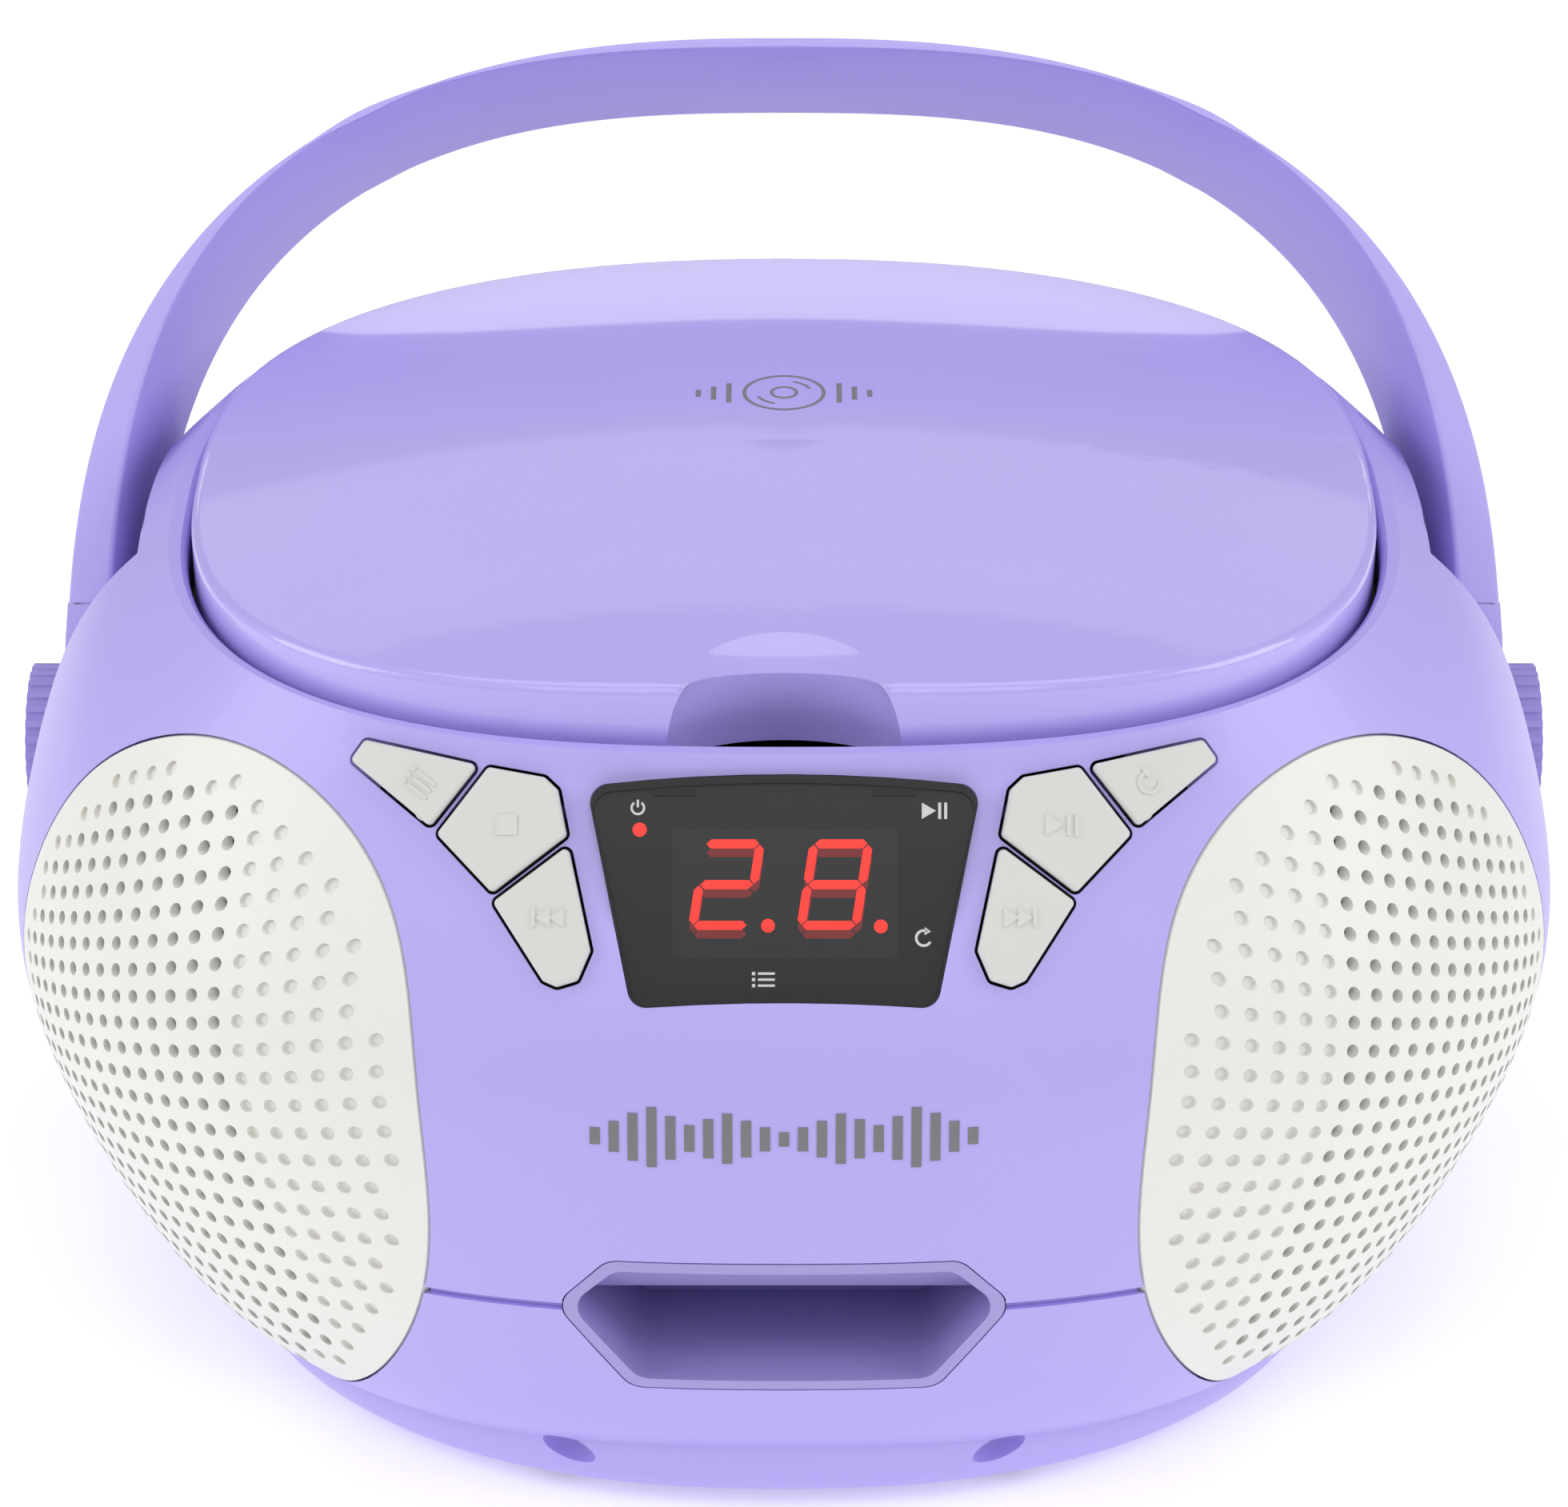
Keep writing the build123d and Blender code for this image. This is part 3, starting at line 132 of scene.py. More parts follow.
def moulded_surface():
    """Node group: flow marks in the colour, uneven gloss and a fine pebble grain."""
    group = bpy.data.node_groups.new("moulded_surface", "ShaderNodeTree")
    face = group.interface
    face.new_socket("Colour", in_out="INPUT", socket_type="NodeSocketColor")
    for name, value in (("Flow Marks", 0.05), ("Roughness", 0.35), ("Grain Size", 0.4),
                        ("Grain Depth", 0.05)):
        face.new_socket(name, in_out="INPUT", socket_type="NodeSocketFloat").default_value = value
    face.new_socket("Colour", in_out="OUTPUT", socket_type="NodeSocketColor")
    face.new_socket("Roughness", in_out="OUTPUT", socket_type="NodeSocketFloat")
    face.new_socket("Normal", in_out="OUTPUT", socket_type="NodeSocketVector")
    nodes, links = group.nodes, group.links
    given = nodes.new("NodeGroupInput")
    result = nodes.new("NodeGroupOutput")
    where = nodes.new("ShaderNodeTexCoord")
    flow = nodes.new("ShaderNodeTexNoise")
    flow.inputs["Scale"].default_value = FLOW_MARK_SCALE
    flow.inputs["Detail"].default_value = FLOW_MARK_DETAIL
    links.new(where.outputs["Object"], flow.inputs["Vector"])
    centred = nodes.new("ShaderNodeMath")
    centred.operation = "SUBTRACT"
    centred.inputs[1].default_value = 0.5
    links.new(flow.outputs["Fac"], centred.inputs[0])
    strength = nodes.new("ShaderNodeMath")
    strength.operation = "MULTIPLY_ADD"
    strength.inputs[2].default_value = 1.0
    links.new(centred.outputs[0], strength.inputs[0])
    links.new(given.outputs["Flow Marks"], strength.inputs[1])
    tint = nodes.new("ShaderNodeVectorMath")
    tint.operation = "SCALE"
    links.new(given.outputs["Colour"], tint.inputs[0])
    links.new(strength.outputs[0], tint.inputs["Scale"])
    links.new(tint.outputs[0], result.inputs["Colour"])
    uneven = nodes.new("ShaderNodeMath")
    uneven.operation = "MULTIPLY_ADD"
    uneven.inputs[1].default_value = GLOSS_VARIATION
    links.new(centred.outputs[0], uneven.inputs[0])
    links.new(given.outputs["Roughness"], uneven.inputs[2])
    links.new(uneven.outputs[0], result.inputs["Roughness"])
    per_metre = nodes.new("ShaderNodeMath")
    per_metre.operation = "DIVIDE"
    per_metre.inputs[0].default_value = 1000.0
    links.new(given.outputs["Grain Size"], per_metre.inputs[1])
    pebble = nodes.new("ShaderNodeTexVoronoi")
    pebble.feature = "SMOOTH_F1"
    links.new(where.outputs["Object"], pebble.inputs["Vector"])
    links.new(per_metre.outputs[0], pebble.inputs["Scale"])
    bump = nodes.new("ShaderNodeBump")
    bump.inputs["Distance"].default_value = GRAIN_HEIGHT
    links.new(given.outputs["Grain Depth"], bump.inputs["Strength"])
    links.new(pebble.outputs["Distance"], bump.inputs["Height"])
    links.new(bump.outputs["Normal"], result.inputs["Normal"])
    return group


moulded = moulded_surface()


def plastic(name, colour, roughness=0.35, coat=0.0, flow=0.04, grain=0.4, depth=0.05, **sockets):
    """A material on the moulded skin; grain is the pebbles' size in millimetres."""
    material = bpy.data.materials.new(name)
    material.use_nodes = True
    tree = material.node_tree
    shader = tree.nodes["Principled BSDF"]
    skin = tree.nodes.new("ShaderNodeGroup")
    skin.node_tree = moulded
    skin.inputs["Colour"].default_value = colour
    skin.inputs["Flow Marks"].default_value = flow
    skin.inputs["Roughness"].default_value = roughness
    skin.inputs["Grain Size"].default_value = grain
    skin.inputs["Grain Depth"].default_value = depth
    tree.links.new(skin.outputs["Colour"], shader.inputs["Base Color"])
    tree.links.new(skin.outputs["Roughness"], shader.inputs["Roughness"])
    tree.links.new(skin.outputs["Normal"], shader.inputs["Normal"])
    shader.inputs["Coat Weight"].default_value = coat
    shader.inputs["Coat Roughness"].default_value = COAT_ROUGHNESS
    for socket, value in sockets.items():
        shader.inputs[socket.replace("_", " ")].default_value = value
    return material


def dress(node, material):
    """Gives a CAD node its material."""
    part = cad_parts[node]
    for slot in part.material_slots:
        slot.link = "OBJECT"
        slot.material = material
    if not part.material_slots:
        part.data.materials.append(material)


lilac_satin = plastic("lilac_satin", linear(181, 168, 236), roughness=0.42, coat=0.12, depth=0.06)
lilac_polished = plastic("lilac_polished", linear(180, 168, 238), roughness=0.38, coat=0.9,
                         depth=0.0)
# a darker, greyer copy of the lilac: painted shade for the side knobs, which are moulded in the
# same lilac
lilac_painted_shade = plastic("lilac_painted_shade", linear(158, 146, 212), roughness=0.42, depth=0.06)

# the port's lilac painted greyer and darker: painted shade for the recess, the plastic itself is
# the cabinet's lilac
lilac_port_painted_shade = plastic("lilac_port_painted_shade", linear(163, 154, 212), roughness=0.46, depth=0.08)
for node in ("upper_cabinet", "lower_cabinet", "handle", "battery_door"):
    dress(node, lilac_satin)
dress("lid", lilac_polished)
dress("port_insert", lilac_port_painted_shade)

# ---- Handle ----
# One moulded strap: two flat arms that turn on steel pins, joined by an even arch whose
# front edge stands wider than its rear edge. The arms are the CAD handle's own, up to ARM_TOP.

MM = 0.001
HANDLE_LEAN = radians(45.0)
HANDLE_PIVOT = Vector((0, 10.0, 92.0)) * MM
STRAP_HALF_WIDTH = 12.5 * MM
ARM_TOP = 6.0 * MM
ARCH_LAP = 0.3 * MM
STRAP_STEPS = 72
STRAP_ROUNDING = 0.9 * MM
CRISP_ANGLE = radians(35)
# each corner of the strap: front (-1) or rear (1), half span, reach and roundness of its arch
STRAP_CORNERS = (
    (-1, 108.5, 102.0, 2.5),
    (1, 105.0, 103.5, 2.5),
    (1, 98.5, 101.0, 2.8),
    (-1, 102.0, 100.0, 2.8),
)

strap_up = Vector((0, sin(HANDLE_LEAN), cos(HANDLE_LEAN)))
strap_across = Vector((0, cos(HANDLE_LEAN), -sin(HANDLE_LEAN)))


def strap_ring(step):
    """One cross-section of the arch, from the foot at step 0 to the middle at STRAP_STEPS."""
    corners = []
    for edge, half_span, reach, roundness in STRAP_CORNERS:
        foot = ((ARM_TOP - ARCH_LAP) / (reach * MM)) ** (roundness / 2)
        turn = atan2(foot, (1 - foot * foot) ** 0.5)
        turn += (pi / 2 - turn) * step / STRAP_STEPS
        x = half_span * MM * max(cos(turn), 0.0) ** (2 / roundness)
        z = reach * MM * sin(turn) ** (2 / roundness)
        corners.append(
            HANDLE_PIVOT + Vector((x, 0, 0)) + strap_across * edge * STRAP_HALF_WIDTH
            + strap_up * z
        )
    ring = []
    for k in range(4):
        here = corners[k]
        start = here + (corners[k - 1] - here).normalized() * STRAP_ROUNDING
        end = here + (corners[(k + 1) % 4] - here).normalized() * STRAP_ROUNDING
        for share in (0.0, 0.33, 0.67, 1.0):
            ring.append(start.lerp(here, share).lerp(here.lerp(end, share), share))
    return ring


def added(name, form, material, body):
    """A new piece: smooth, with the edges that turn by more than CRISP_ANGLE kept crisp."""
    mesh = bpy.data.meshes.new(name)
    bmesh.ops.recalc_face_normals(form, faces=form.faces)
    for face in form.faces:
        face.smooth = True
    for edge in form.edges:
        edge.smooth = edge.calc_face_angle(0.0) < CRISP_ANGLE
    form.to_mesh(mesh)
    form.free()
    mesh.materials.append(material)
    piece = bpy.data.objects.new(name, mesh)
    bpy.context.scene.collection.objects.link(piece)
    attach(piece, body)
    return piece


rings = [strap_ring(step) for step in range(STRAP_STEPS + 1)]
rings += [[Vector((-p.x, p.y, p.z)) for p in ring] for ring in rings[-2::-1]]
strap_form = bmesh.new()
strap_form.from_mesh(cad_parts["handle"].data)
bmesh.ops.bisect_plane(
    strap_form, geom=strap_form.verts[:] + strap_form.edges[:] + strap_form.faces[:], dist=1e-7,
    plane_co=HANDLE_PIVOT + strap_up * ARM_TOP, plane_no=strap_up, clear_outer=True,
)
laid = [[strap_form.verts.new(point) for point in ring] for ring in rings]
for lower, upper in zip(laid, laid[1:]):
    for k in range(len(lower)):
        n = (k + 1) % len(lower)
        strap_form.faces.new((lower[k], lower[n], upper[n], upper[k]))
strap_form.faces.new(laid[0])
strap_form.faces.new(laid[-1])
for face in strap_form.faces:
    face.material_index = 0
strap = added("handle_strap", strap_form, lilac_satin, "handle")
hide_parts("handle")

# ---- Side knobs ----
# Two thumb wheels with moulded ribs, pressed on steel shafts.

zinc = plastic("zinc_plate", linear(170, 170, 172), roughness=0.34, flow=0.10, grain=0.9, depth=0.1,
               Metallic=1.0)
for side in ("volume", "tuning"):
    # the knobs take the darker lilac copy, painted shade on their sides
    dress(side + "_knob", lilac_painted_shade)
    dress(side + "_shaft", zinc)

# ---- Grilles ----
# Off-white moulded ovals. The rows of round holes fan out from the outer side; the columns
# next to the keys are only dimpled, because no speaker lies behind them.

GRILLE_TURN = radians(52.0)
GRILLE_CENTRE_HEIGHT = 60.0 * MM
GRILLE_SHIFT = -2.0 * MM
GRILLE_LEAN = radians(13.0)
GRILLE_HALF_WIDTH = 41.65 * MM
GRILLE_HALF_HEIGHT = 49.15 * MM
GRILLE_SKIN = 1.9 * MM
HOLE_PITCH = 3.72 * MM
HOLE_RADIUS = 0.98 * MM
HOLE_SIDES = 12
HOLE_MARGIN = 3.4 * MM
FAN_RADIUS = 240.0 * MM
FAN_MIDDLE = radians(15.0)
DIMPLE_DEPTH = 0.8 * MM
DIMPLE_COLUMN = 4
DIMPLE_EDGE = 0.93
RIM_POINTS = 150

grille_white = plastic("grille_white", linear(229, 228, 222), roughness=0.42, flow=0.03, grain=0.5,
                       depth=0.08)


def surface_of(node):
    """A search tree over one CAD node's surface."""
    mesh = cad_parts[node].data
    points = [v.co.copy() for v in mesh.vertices]
    return BVHTree.FromPolygons(points, [tuple(p.vertices) for p in mesh.polygons])


def grille_piece(name, node, side):
    """One grille; side is -1 on the left and 1 on the right."""
    across = Vector((-side * cos(GRILLE_TURN), -sin(GRILLE_TURN), 0))
    out = Vector((side * sin(GRILLE_TURN), -cos(GRILLE_TURN), 0))
    up = Vector((0, 0, 1))
    origin = Vector((0, 0, GRILLE_CENTRE_HEIGHT))
    skin = surface_of(node)

    def leaned(x, y):
        return (
            GRILLE_SHIFT + x * cos(GRILLE_LEAN) - y * sin(GRILLE_LEAN),
            x * sin(GRILLE_LEAN) + y * cos(GRILLE_LEAN),
        )

    def unleaned(x, y):
        x -= GRILLE_SHIFT
        return (
            x * cos(GRILLE_LEAN) + y * sin(GRILLE_LEAN),
            -x * sin(GRILLE_LEAN) + y * cos(GRILLE_LEAN),
        )

    def on_skin(x, y):
        start = origin + across * x + up * y + out * 0.3
        hit = skin.ray_cast(start, -out)[0]
        if hit is None:
            hit = skin.find_nearest(start - out * 0.19)[0]
        return hit

    flat, edges, ring_of, holes = [], [], [], []

    def add_ring(points, owner):
        first = len(flat)
        for k, point in enumerate(points):
            flat.append(Vector(point))
            ring_of.append(owner)
            edges.append((first + k, first + (k + 1) % len(points)))
        return list(range(first, first + len(points)))

    rim = add_ring(
        [leaned(GRILLE_HALF_WIDTH * cos(2 * pi * k / RIM_POINTS),
                GRILLE_HALF_HEIGHT * sin(2 * pi * k / RIM_POINTS)) for k in range(RIM_POINTS)],
        -1,
    )
    steps = int(GRILLE_HALF_HEIGHT / HOLE_PITCH) + 2
    for row in range(-steps, steps + 1):
        turn = FAN_MIDDLE + row * HOLE_PITCH / FAN_RADIUS
        for column in range(-steps, steps + 1):
            reach = FAN_RADIUS + column * HOLE_PITCH
            middle = (
                GRILLE_SHIFT + reach * cos(turn) - FAN_RADIUS * cos(FAN_MIDDLE),
                reach * sin(turn) - FAN_RADIUS * sin(FAN_MIDDLE),
            )
            x, y = unleaned(*middle)
            inside = hypot(
                x / (GRILLE_HALF_WIDTH - HOLE_MARGIN), y / (GRILLE_HALF_HEIGHT - HOLE_MARGIN)
            )
            if inside > 1:
                continue
            points = [
                (middle[0] + HOLE_RADIUS * cos(2 * pi * k / HOLE_SIDES),
                 middle[1] + HOLE_RADIUS * sin(2 * pi * k / HOLE_SIDES))
                for k in range(HOLE_SIDES)
            ]
            ring = add_ring(points, len(holes))
            holes.append((ring, column > DIMPLE_COLUMN or inside > DIMPLE_EDGE))

    result = delaunay_2d_cdt(flat, edges, [], 0, 1e-7)
    triangles = result[2]
    mesh_points = [on_skin(p.x, p.y) for p in result[0]]
    count = len(mesh_points)
    source = [ids[0] if ids else -1 for ids in result[3]]
    place_of = {old: new for new, old in enumerate(source)}
    owner = [ring_of[old] if old >= 0 else -2 for old in source]
    mesh_points += [p - out * GRILLE_SKIN for p in mesh_points]
    faces = []
    dimples = {k for k, (ring, blind) in enumerate(holes) if blind}
    for a, b, c in triangles:
        owners = {owner[a], owner[b], owner[c]}
        within = len(owners) == 1 and owner[a] >= 0
        middle = (result[0][a] + result[0][b] + result[0][c]) / 3
        if not within:
            faces.append((a, b, c))
        if not within or owner[a] in dimples:
            faces.append((c + count, b + count, a + count))
    for k in range(RIM_POINTS):
        a, b = place_of[rim[k]], place_of[rim[(k + 1) % RIM_POINTS]]
        faces.append((b, a, a + count, b + count))
    for ring, blind in holes:
        ring = [place_of[k] for k in ring]
        if blind:
            floor_ring = []
            for k in ring:
                mesh_points.append(mesh_points[k] - out * DIMPLE_DEPTH)
                floor_ring.append(len(mesh_points) - 1)
            faces.append(tuple(floor_ring))
        else:
            floor_ring = [k + count for k in ring]
        for k in range(HOLE_SIDES):
            n = (k + 1) % HOLE_SIDES
            faces.append((ring[k], ring[n], floor_ring[n], floor_ring[k]))
    draft = bpy.data.meshes.new("grille_draft")
    draft.from_pydata(mesh_points, [], faces)
    form = bmesh.new()
    form.from_mesh(draft)
    bpy.data.meshes.remove(draft)
    grille = added(name, form, grille_white, "cabinet")
    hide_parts(node)


for name, side in (("left", -1), ("right", 1)):
    grille_piece(name + "_perforated_grille", name + "_grille", side)

# ---- Speakers ----
# Pressed steel baskets with ferrite magnets and black pulp cones, held against black baffles.

moulded_black = plastic("moulded_black", linear(44, 44, 47), roughness=0.4, grain=0.6, depth=0.1)
pulp = plastic("cone_pulp", linear(34, 34, 36), roughness=0.85, flow=0.5, grain=0.6, depth=0.5)
ferrite = plastic("ferrite", linear(58, 58, 60), roughness=0.7, flow=0.3, grain=0.5, depth=0.3)
for side in ("left", "right"):
    dress(side + "_baffle", moulded_black)
    dress(side + "_speaker_frame", zinc)
    dress(side + "_speaker_magnet", ferrite)
    dress(side + "_speaker_cone", pulp)

# ---- Keys ----
# Six light grey caps with softly chamfered edges. A transport sign stands up from each cap,
# moulded with it.

key_grey = plastic("key_grey", linear(212, 211, 207), roughness=0.45, flow=0.05, grain=0.5,
                   depth=0.12)
DISPLAY_SLOPE = radians(62.5)
display_origin = Vector((0, -80.6, 98.7)) * MM
display_right = Vector((1, 0, 0))
display_up = Vector((0, cos(DISPLAY_SLOPE), sin(DISPLAY_SLOPE)))
display_out = Vector((0, -sin(DISPLAY_SLOPE), cos(DISPLAY_SLOPE)))


def bar(left, right, low, high):
    return [(left, low), (right, low), (right, high), (left, high)]


def wedge(tip, back, half):
    """A triangle that points along the row, from its back to its tip."""
    return [(back, -half), (tip, 0), (back, half)] if tip > back else [
        (tip, 0), (back, -half), (back, half)]


def arc(radius, width, start, end, steps=14, centre=(0, 0)):
    """A curved stroke as a row of four-sided pieces, with angles in degrees."""
    pieces = []
    for k in range(steps):
        a = radians(start + (end - start) * k / steps)
        b = radians(start + (end - start) * (k + 1) / steps)
        pieces.append([
            (centre[0] + r * cos(t), centre[1] + r * sin(t))
            for r, t in ((radius - width / 2, a), (radius + width / 2, a),
                         (radius + width / 2, b), (radius - width / 2, b))
        ])
    return pieces


def backwards(pieces):
    return [[(-x, y) for x, y in reversed(piece)] for piece in pieces]


next_sign = [wedge(0.1, -2.0, 1.35), wedge(2.0, -0.1, 1.35), bar(2.0, 2.5, -1.35, 1.35)]
SIGNS = {
    "next": next_sign,
    "previous": backwards(next_sign),
    "play_pause": [wedge(0.4, -2.2, 1.5), bar(0.8, 1.35, -1.5, 1.5), bar(1.9, 2.45, -1.5, 1.5)],
    "stop": [bar(-1.4, 1.4, -1.4, 1.4)],
    "repeat": arc(1.45, 0.5, 60, 330) + [[(0.15, 0.55), (1.35, 1.25), (0.2, 2.1)]],
    "program": [bar(-0.9, 2.2, y - 0.22, y + 0.22) for y in (-1.1, 0.0, 1.1)]
    + [bar(-2.0, -1.4, y - 0.3, y + 0.3) for y in (-1.1, 0.0, 1.1)],
    "power": arc(1.15, 0.42, 125, 415) + [bar(-0.21, 0.21, 0.1, 1.5)],
}


def lay_sign(name, pieces, node, body, origin, right, up, out, size=1.0, thickness=0.2, proud=0.12,
             turn=0.0, material=None):
    """Lays flat pieces, in millimetres, on a node's surface, as plates that stand proud of it."""
    skin = surface_of(node) if node else None
    mesh_points, faces = [], []
    for piece in pieces:
        first = len(mesh_points)
        for x, y in piece:
            a = (x * cos(turn) - y * sin(turn)) * size * MM
            b = (x * sin(turn) + y * cos(turn)) * size * MM
            point = origin + right * a + up * b
            if skin:
                start = point + out * 0.05
                point = skin.ray_cast(start, -out)[0] or skin.find_nearest(point)[0]
            mesh_points.append(point + out * proud * MM)
        faces.append(tuple(range(first, first + len(piece))))
    mesh = bpy.data.meshes.new(name)
    mesh.from_pydata(mesh_points, [], faces)
    mesh.materials.append(material)
    form = bmesh.new()
    form.from_mesh(mesh)
    bmesh.ops.remove_doubles(form, verts=form.verts, dist=0.000004)
    for face in form.faces:
        face.normal_update()
        if face.normal.dot(out) < 0:
            face.normal_flip()
    form.to_mesh(mesh)
    form.free()
    sign = bpy.data.objects.new(name, mesh)
    bpy.context.scene.collection.objects.link(sign)
    plate = sign.modifiers.new("plate", "SOLIDIFY")
    plate.thickness = thickness * MM
    plate.offset = -1
    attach(sign, body)


def on_display(a, w, depth=0.0):
    """A place on the display's slope, in millimetres across, up it and in from it."""
    return display_origin + (display_right * a + display_up * w - display_out * depth) * MM


# each key's sign: how far across and up the display's slope, and its turn in degrees
KEY_SIGNS = {
    "program": (-50.6, 15.6, -38.0), "stop": (-38.2, 9.6, 0.0), "previous": (-32.2, -3.2, 0.0),
    "repeat": (50.6, 15.6, 38.0), "play_pause": (38.2, 9.6, 0.0), "next": (32.2, -3.2, 0.0),
}
for key, (a, w, turn) in KEY_SIGNS.items():
    dress(key + "_key", key_grey)
    lay_sign(key + "_sign", SIGNS[key], key + "_key", key + "_key", on_display(a, w),
             display_right, display_up, display_out, thickness=0.4, proud=0.22,
             turn=radians(turn), material=key_grey)

# ---- Display ----
# A smoked polycarbonate lens, dark all over, in a black frame with two catches at its top.
# Behind it glow a two-digit readout and a power lamp; small signs are printed in pale ink.
# A dim red copy of each digit, a little lower and deeper, is a painted reflection of it in the
# lens.

smoked = plastic("smoked_lens", linear(24, 24, 25), roughness=0.34, coat=0.08, flow=0.03, depth=0.0)
filter_grey = plastic("filter_grey", linear(36, 36, 37), roughness=0.34, coat=0.08, flow=0.03,
                      depth=0.0)
frame_black = plastic("frame_black", linear(20, 20, 23), roughness=0.4, flow=0.1, depth=0.05)
pale_ink = plastic("pale_ink", linear(206, 206, 208), roughness=0.5, flow=0.05, depth=0.0)
lamp_red = plastic("lamp_red", linear(120, 12, 10), roughness=0.3, flow=0.05, depth=0.0)
lamp_shader = lamp_red.node_tree.nodes["Principled BSDF"]
lamp_shader.inputs["Emission Color"].default_value = linear(255, 60, 50)
lamp_shader.inputs["Emission Strength"].default_value = 0.92
# dim red for the copies of the digits: a painted reflection of the readout in the lens, not a lit
# part
painted_reflection_red = plastic("painted_reflection_red", linear(120, 40, 40), roughness=0.4, flow=0.4, depth=0.0)
LENS_FACE = 1.8
WINDOW_TOP = 14.95
WINDOW_BOTTOM = -15.75
WINDOW_TOP_HALF = 27.25
WINDOW_BOTTOM_HALF = 21.0
WINDOW_CORNER = 2.6
WINDOW_ARCH = 1.5
WINDOW_ARCH_START = 12.0
CATCH_PLACE = 15.1
CATCH_HALF = 2.9
dress("display_window", smoked)
dress("display_module", frame_black)


def display_sign(name, pieces, a, w, material, size=1.0, proud=0.06, thickness=0.1):
    lay_sign(name, pieces, None, "cabinet", on_display(a, w, LENS_FACE), display_right,
             display_up, display_out, size=size, thickness=thickness, proud=proud,
             material=material)


def window_path(inset, top_inset):
    """The window's outline, drawn in from its opening: arched edges and rounded corners."""
    top, bottom = WINDOW_TOP - top_inset, WINDOW_BOTTOM + inset
    wide, narrow = WINDOW_TOP_HALF - inset, WINDOW_BOTTOM_HALF - inset
    radius = WINDOW_CORNER - inset * 0.5
    corners = [Vector(c) for c in ((-wide, top), (wide, top), (narrow, bottom), (-narrow, bottom))]
    path = []
    for k, corner in enumerate(corners):
        before = (corners[k - 1] - corner).normalized()
        after = (corners[(k + 1) % 4] - corner).normalized()
        half = before.angle(after) / 2
        centre = corner + (before + after).normalized() * radius / sin(half)
        first = corner + before * radius / tan(half) - centre
        last = corner + after * radius / tan(half) - centre
        for step in range(7):
            path.append(centre + first.lerp(last, step / 6).normalized() * radius)
        if k in (0, 2):
            start = path[-1]
            end = Vector((-start.x, start.y))
            for step in range(1, 12):
                path.append(start.lerp(end, step / 12))
    arched = []
    for x, y in path:
        half, rise = (wide, WINDOW_ARCH) if y > 0 else (narrow, WINDOW_ARCH / 2)
        if abs(y) > WINDOW_ARCH_START:
            y += rise * (1 - (x / half) ** 2)
        arched.append((x, y))
    return arched


bezel_ring = []
outer_path, inner_path = window_path(0.06, 0.06), window_path(0.42, 1.15)
for k in range(len(outer_path)):
    n = (k + 1) % len(outer_path)
    bezel_ring.append([outer_path[k], inner_path[k], inner_path[n], outer_path[n]])
display_sign("window_bezel", bezel_ring, 0, 0, frame_black, proud=0.7,
             thickness=0.75)
for name, side in (("left", -1), ("right", 1)):
    catch = bar(side * CATCH_PLACE - CATCH_HALF, side * CATCH_PLACE + CATCH_HALF, 13.6, 14.9)
    display_sign("window_catch_" + name, [catch], 0, 0, frame_black, proud=0.45,
                 thickness=0.5)
display_sign("readout_filter", [bar(-15.3, 15.6, -8.7, 8.9)], 0, 0, filter_grey,
             proud=0.03, thickness=0.05)
DIGIT_WIDE = 7.5
DIGIT_TALL = 11.2
STROKE = 1.25
DIGIT_SLANT = 0.155


def stroke(x0, y0, x1, y1):
    """One lit stroke of a digit: a bar with pointed ends, leaning with the digit."""
    length = hypot(x1 - x0, y1 - y0)
    dx, dy = (x1 - x0) / length, (y1 - y0) / length
    gap, half = 0.12, STROKE / 2
    corners = []
    for along, across in ((gap, 0), (gap + half, -half), (length - gap - half, -half),
                          (length - gap, 0), (length - gap - half, half), (gap + half, half)):
        x = x0 + dx * along - dy * across
        y = y0 + dy * along + dx * across
        corners.append((x + DIGIT_SLANT * y, y))
    return corners


def digit(strokes):
    w, h = DIGIT_WIDE / 2, DIGIT_TALL / 2
    ends = {
        "top": (-w, h, w, h), "middle": (-w, 0, w, 0), "bottom": (-w, -h, w, -h),
        "left_high": (-w, 0, -w, h), "left_low": (-w, -h, -w, 0),
        "right_high": (w, 0, w, h), "right_low": (w, -h, w, 0),
    }
    return [stroke(*ends[name]) for name in strokes]


def dot(x, y, radius):
    angles = [2 * pi * k / 20 for k in range(20)]
    return [(x + radius * cos(angle), y + radius * sin(angle)) for angle in angles]


two = digit(("top", "right_high", "middle", "left_low", "bottom"))
eight = digit(("top", "right_high", "middle", "left_low", "bottom", "left_high", "right_low"))
# each digit gets a dim copy just below and behind it, a painted reflection of the digit in the lens
for name, pieces, a in (("tens_digit", two, -7.9), ("units_digit", eight, 7.0)):
    display_sign(name + "_painted_reflection", pieces, a, 0.15, painted_reflection_red, proud=0.045,
                 thickness=0.06)
    display_sign(name, pieces, a, 1.35, lamp_red)
display_sign("decimal_points", [dot(-2.2, -4.3, 0.95), dot(13.3, -4.4, 0.95)], 0, 0, lamp_red)
display_sign("power_lamp", [dot(-19.85, 8.9, 0.98)], 0, 0, lamp_red)
for name, sign, a, w, size in (
    ("power_sign", "power", -20.1, 11.9, 0.75),
    ("play_pause_print", "play_pause", 20.6, 11.5, 0.75),
    ("repeat_print", "repeat", 19.2, -6.0, 0.72),
    ("program_print", "program", -2.9, -11.7, 0.75),
):
    display_sign(name, SIGNS[sign], a, w, pale_ink, size=size)

# ---- Printed marks ----
# Grey ink on the lilac: a plain disc sign on the lid and a row of sound bars on the front.

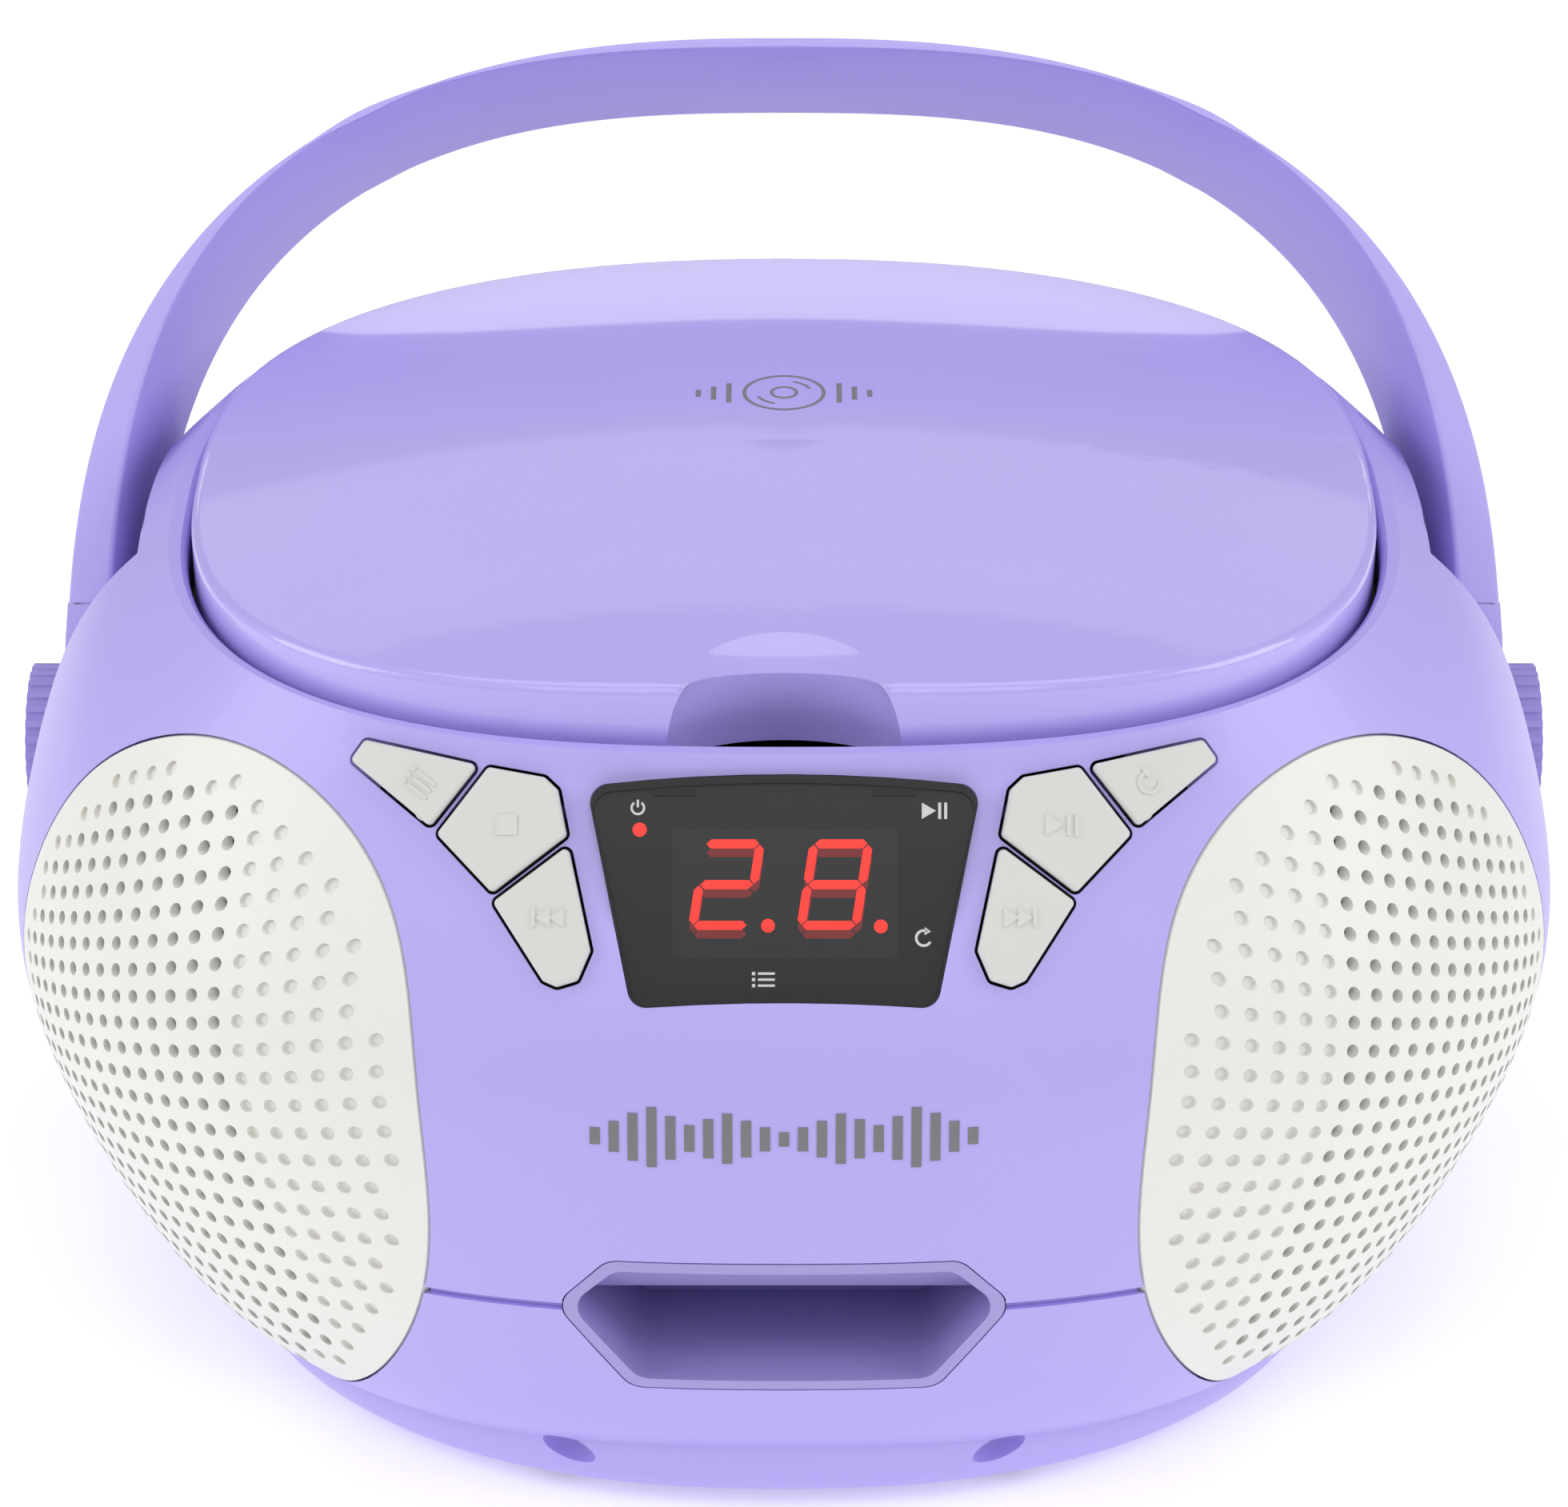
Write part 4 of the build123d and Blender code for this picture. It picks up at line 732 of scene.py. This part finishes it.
grey_ink = plastic("grey_ink", linear(118, 118, 121), roughness=0.45, flow=0.05, depth=0.0)
DECK_TILT = radians(5.5)
RIM_LEVEL = 121.7
lid_right = Vector((1, 0, 0))
lid_up = Vector((0, cos(DECK_TILT), sin(DECK_TILT)))
lid_out = Vector((0, -sin(DECK_TILT), cos(DECK_TILT)))
disc_sign = arc(6.0, 0.55, 0, 360, 48) + arc(1.9, 0.5, 0, 360, 24)
disc_sign += arc(4.1, 0.45, 20, 70, 8) + arc(4.1, 0.45, 200, 250, 8)
for side in (-1, 1):
    for reach, half in ((8.3, 3.4), (10.6, 2.3), (12.9, 1.2)):
        disc_sign.append(bar(side * reach - 0.4, side * reach + 0.4, -half, half))
lay_sign("lid_disc_sign", disc_sign, "lid", "lid",
         Vector((0, 0, RIM_LEVEL * MM)) + lid_up * 16.0 * MM + lid_out * 13.0 * MM, lid_right,
         lid_up, lid_out, thickness=0.06, proud=0.04, material=grey_ink)
BAR_HEIGHTS = (1.0, 1.7, 2.6, 3.6, 2.8, 1.9, 3.1, 4.3, 3.4, 2.2, 1.2)
BAR_PITCH = 2.6
BAR_HALF_WIDTH = 0.7
sound_bars = []
for k in range(1 - len(BAR_HEIGHTS), len(BAR_HEIGHTS)):
    half = BAR_HEIGHTS[abs(k)]
    for low, high in ((-half, -half / 3), (-half / 3, half / 3), (half / 3, half)):
        sound_bars.append(
            bar(k * BAR_PITCH - BAR_HALF_WIDTH, k * BAR_PITCH + BAR_HALF_WIDTH, low, high)
        )
lay_sign("front_sound_bars", sound_bars, "upper_cabinet", "cabinet", Vector((0, -100, 68)) * MM,
         Vector((1, 0, 0)), Vector((0, 0, 1)), Vector((0, -1, 0)), thickness=0.16, proud=0.12,
         material=grey_ink)

# ---- Inner works ----
# Black moulded deck, chassis and switches, steel pins and cans, green boards.

solder_mask = plastic("solder_mask", linear(28, 92, 52), roughness=0.35, flow=0.2, grain=1.5,
                      depth=0.1)
brass = plastic("brass", linear(200, 165, 90), roughness=0.3, flow=0.1, grain=0.8, Metallic=1.0)
rubber = plastic("rubber", linear(30, 30, 31), roughness=0.8, flow=0.2, grain=0.5, depth=0.3)
polished_steel = plastic("polished_steel", linear(205, 205, 208), roughness=0.12, flow=0.04,
                         depth=0.02, Metallic=1.0)
lens_glass = plastic("lens_glass", linear(130, 150, 200), roughness=0.05, coat=0.8, flow=0.0,
                     depth=0.0)
for node in ("disc_tray", "mechanism_chassis", "key_switches", "pickup_sled", "turntable",
             "mains_inlet", "audio_jack", "function_switch", "function_slider", "band_switch",
             "band_slider", "aerial_rod_brackets", "tuning_capacitor"):
    dress(node, moulded_black)
for node in ("lid_hinge_pins", "handle_pivot_pins", "sled_motor", "spindle_motor",
             "power_transformer", "battery_contacts", "cabinet_screws", "volume_control"):
    dress(node, zinc)
for node in ("guide_rods", "lead_screw", "spindle_shaft"):
    dress(node, polished_steel)
for node in ("front_board", "main_board"):
    dress(node, solder_mask)
dress("mains_inlet_pins", brass)
dress("rubber_feet", rubber)
dress("damper_grommets", rubber)
dress("aerial_rod", ferrite)
dress("pickup_lens", lens_glass)

# ---- Disc clamp ----
# Three sprung steel balls in the turntable's hub hold a disc by its hole, and a ring of soft
# rubber round the hub carries it.

DISC_CENTRE = 4.0
DISC_SEAT = -12.4
BALL_CIRCLE = 7.1
BALL_RADIUS = 0.8 * MM


def in_deck(x, y, z):
    """A place in the disc deck's own sloping frame, in millimetres from the disc's centre."""
    along = y + DISC_CENTRE
    return Vector((
        x, along * cos(DECK_TILT) - z * sin(DECK_TILT),
        RIM_LEVEL + along * sin(DECK_TILT) + z * cos(DECK_TILT),
    )) * MM


def lathe(profile, place, steps=64):
    """Turns a closed profile of radius and height round an axis; place maps it to the frame."""
    form = bmesh.new()
    rings = []
    for k in range(steps):
        angle = 2 * pi * k / steps
        rings.append([
            form.verts.new(place(r * cos(angle), r * sin(angle), z)) for r, z in profile
        ])
    for k in range(steps):
        here, there = rings[k], rings[(k + 1) % steps]
        for j in range(len(profile)):
            n = (j + 1) % len(profile)
            form.faces.new((here[j], there[j], there[n], here[n]))
    return form


balls = bmesh.new()
for k in range(3):
    angle = pi / 2 + 2 * pi * k / 3
    centre = in_deck(BALL_CIRCLE * cos(angle), BALL_CIRCLE * sin(angle), DISC_SEAT + 1.5)
    bmesh.ops.create_icosphere(
        balls, subdivisions=3, radius=BALL_RADIUS, matrix=Matrix.Translation(centre)
    )
added("clamp_balls", balls, polished_steel, "turntable")
added(
    "disc_seat_ring",
    lathe([(11.0, DISC_SEAT - 0.1), (14.2, DISC_SEAT - 0.1), (14.2, DISC_SEAT + 0.25),
           (13.9, DISC_SEAT + 0.4), (11.3, DISC_SEAT + 0.4), (11.0, DISC_SEAT + 0.25)], in_deck),
    rubber, "turntable",
)

# ---- Battery door grip ----
# Raised ribs under the thumb and an arrow for the way the door slides, moulded in the door.

door_grip = [bar(-9, 9, y - 0.5, y + 0.5) for y in (-4, -2, 0, 2, 4)]
door_grip.append([(-2.6, -7.0), (0, -10.5), (2.6, -7.0)])
lay_sign("battery_door_grip", door_grip, "battery_door", "battery_door", Vector((0, -22, 0)) * MM,
         Vector((1, 0, 0)), Vector((0, -1, 0)), Vector((0, 0, -1)), thickness=0.6, proud=0.5,
         material=lilac_satin)
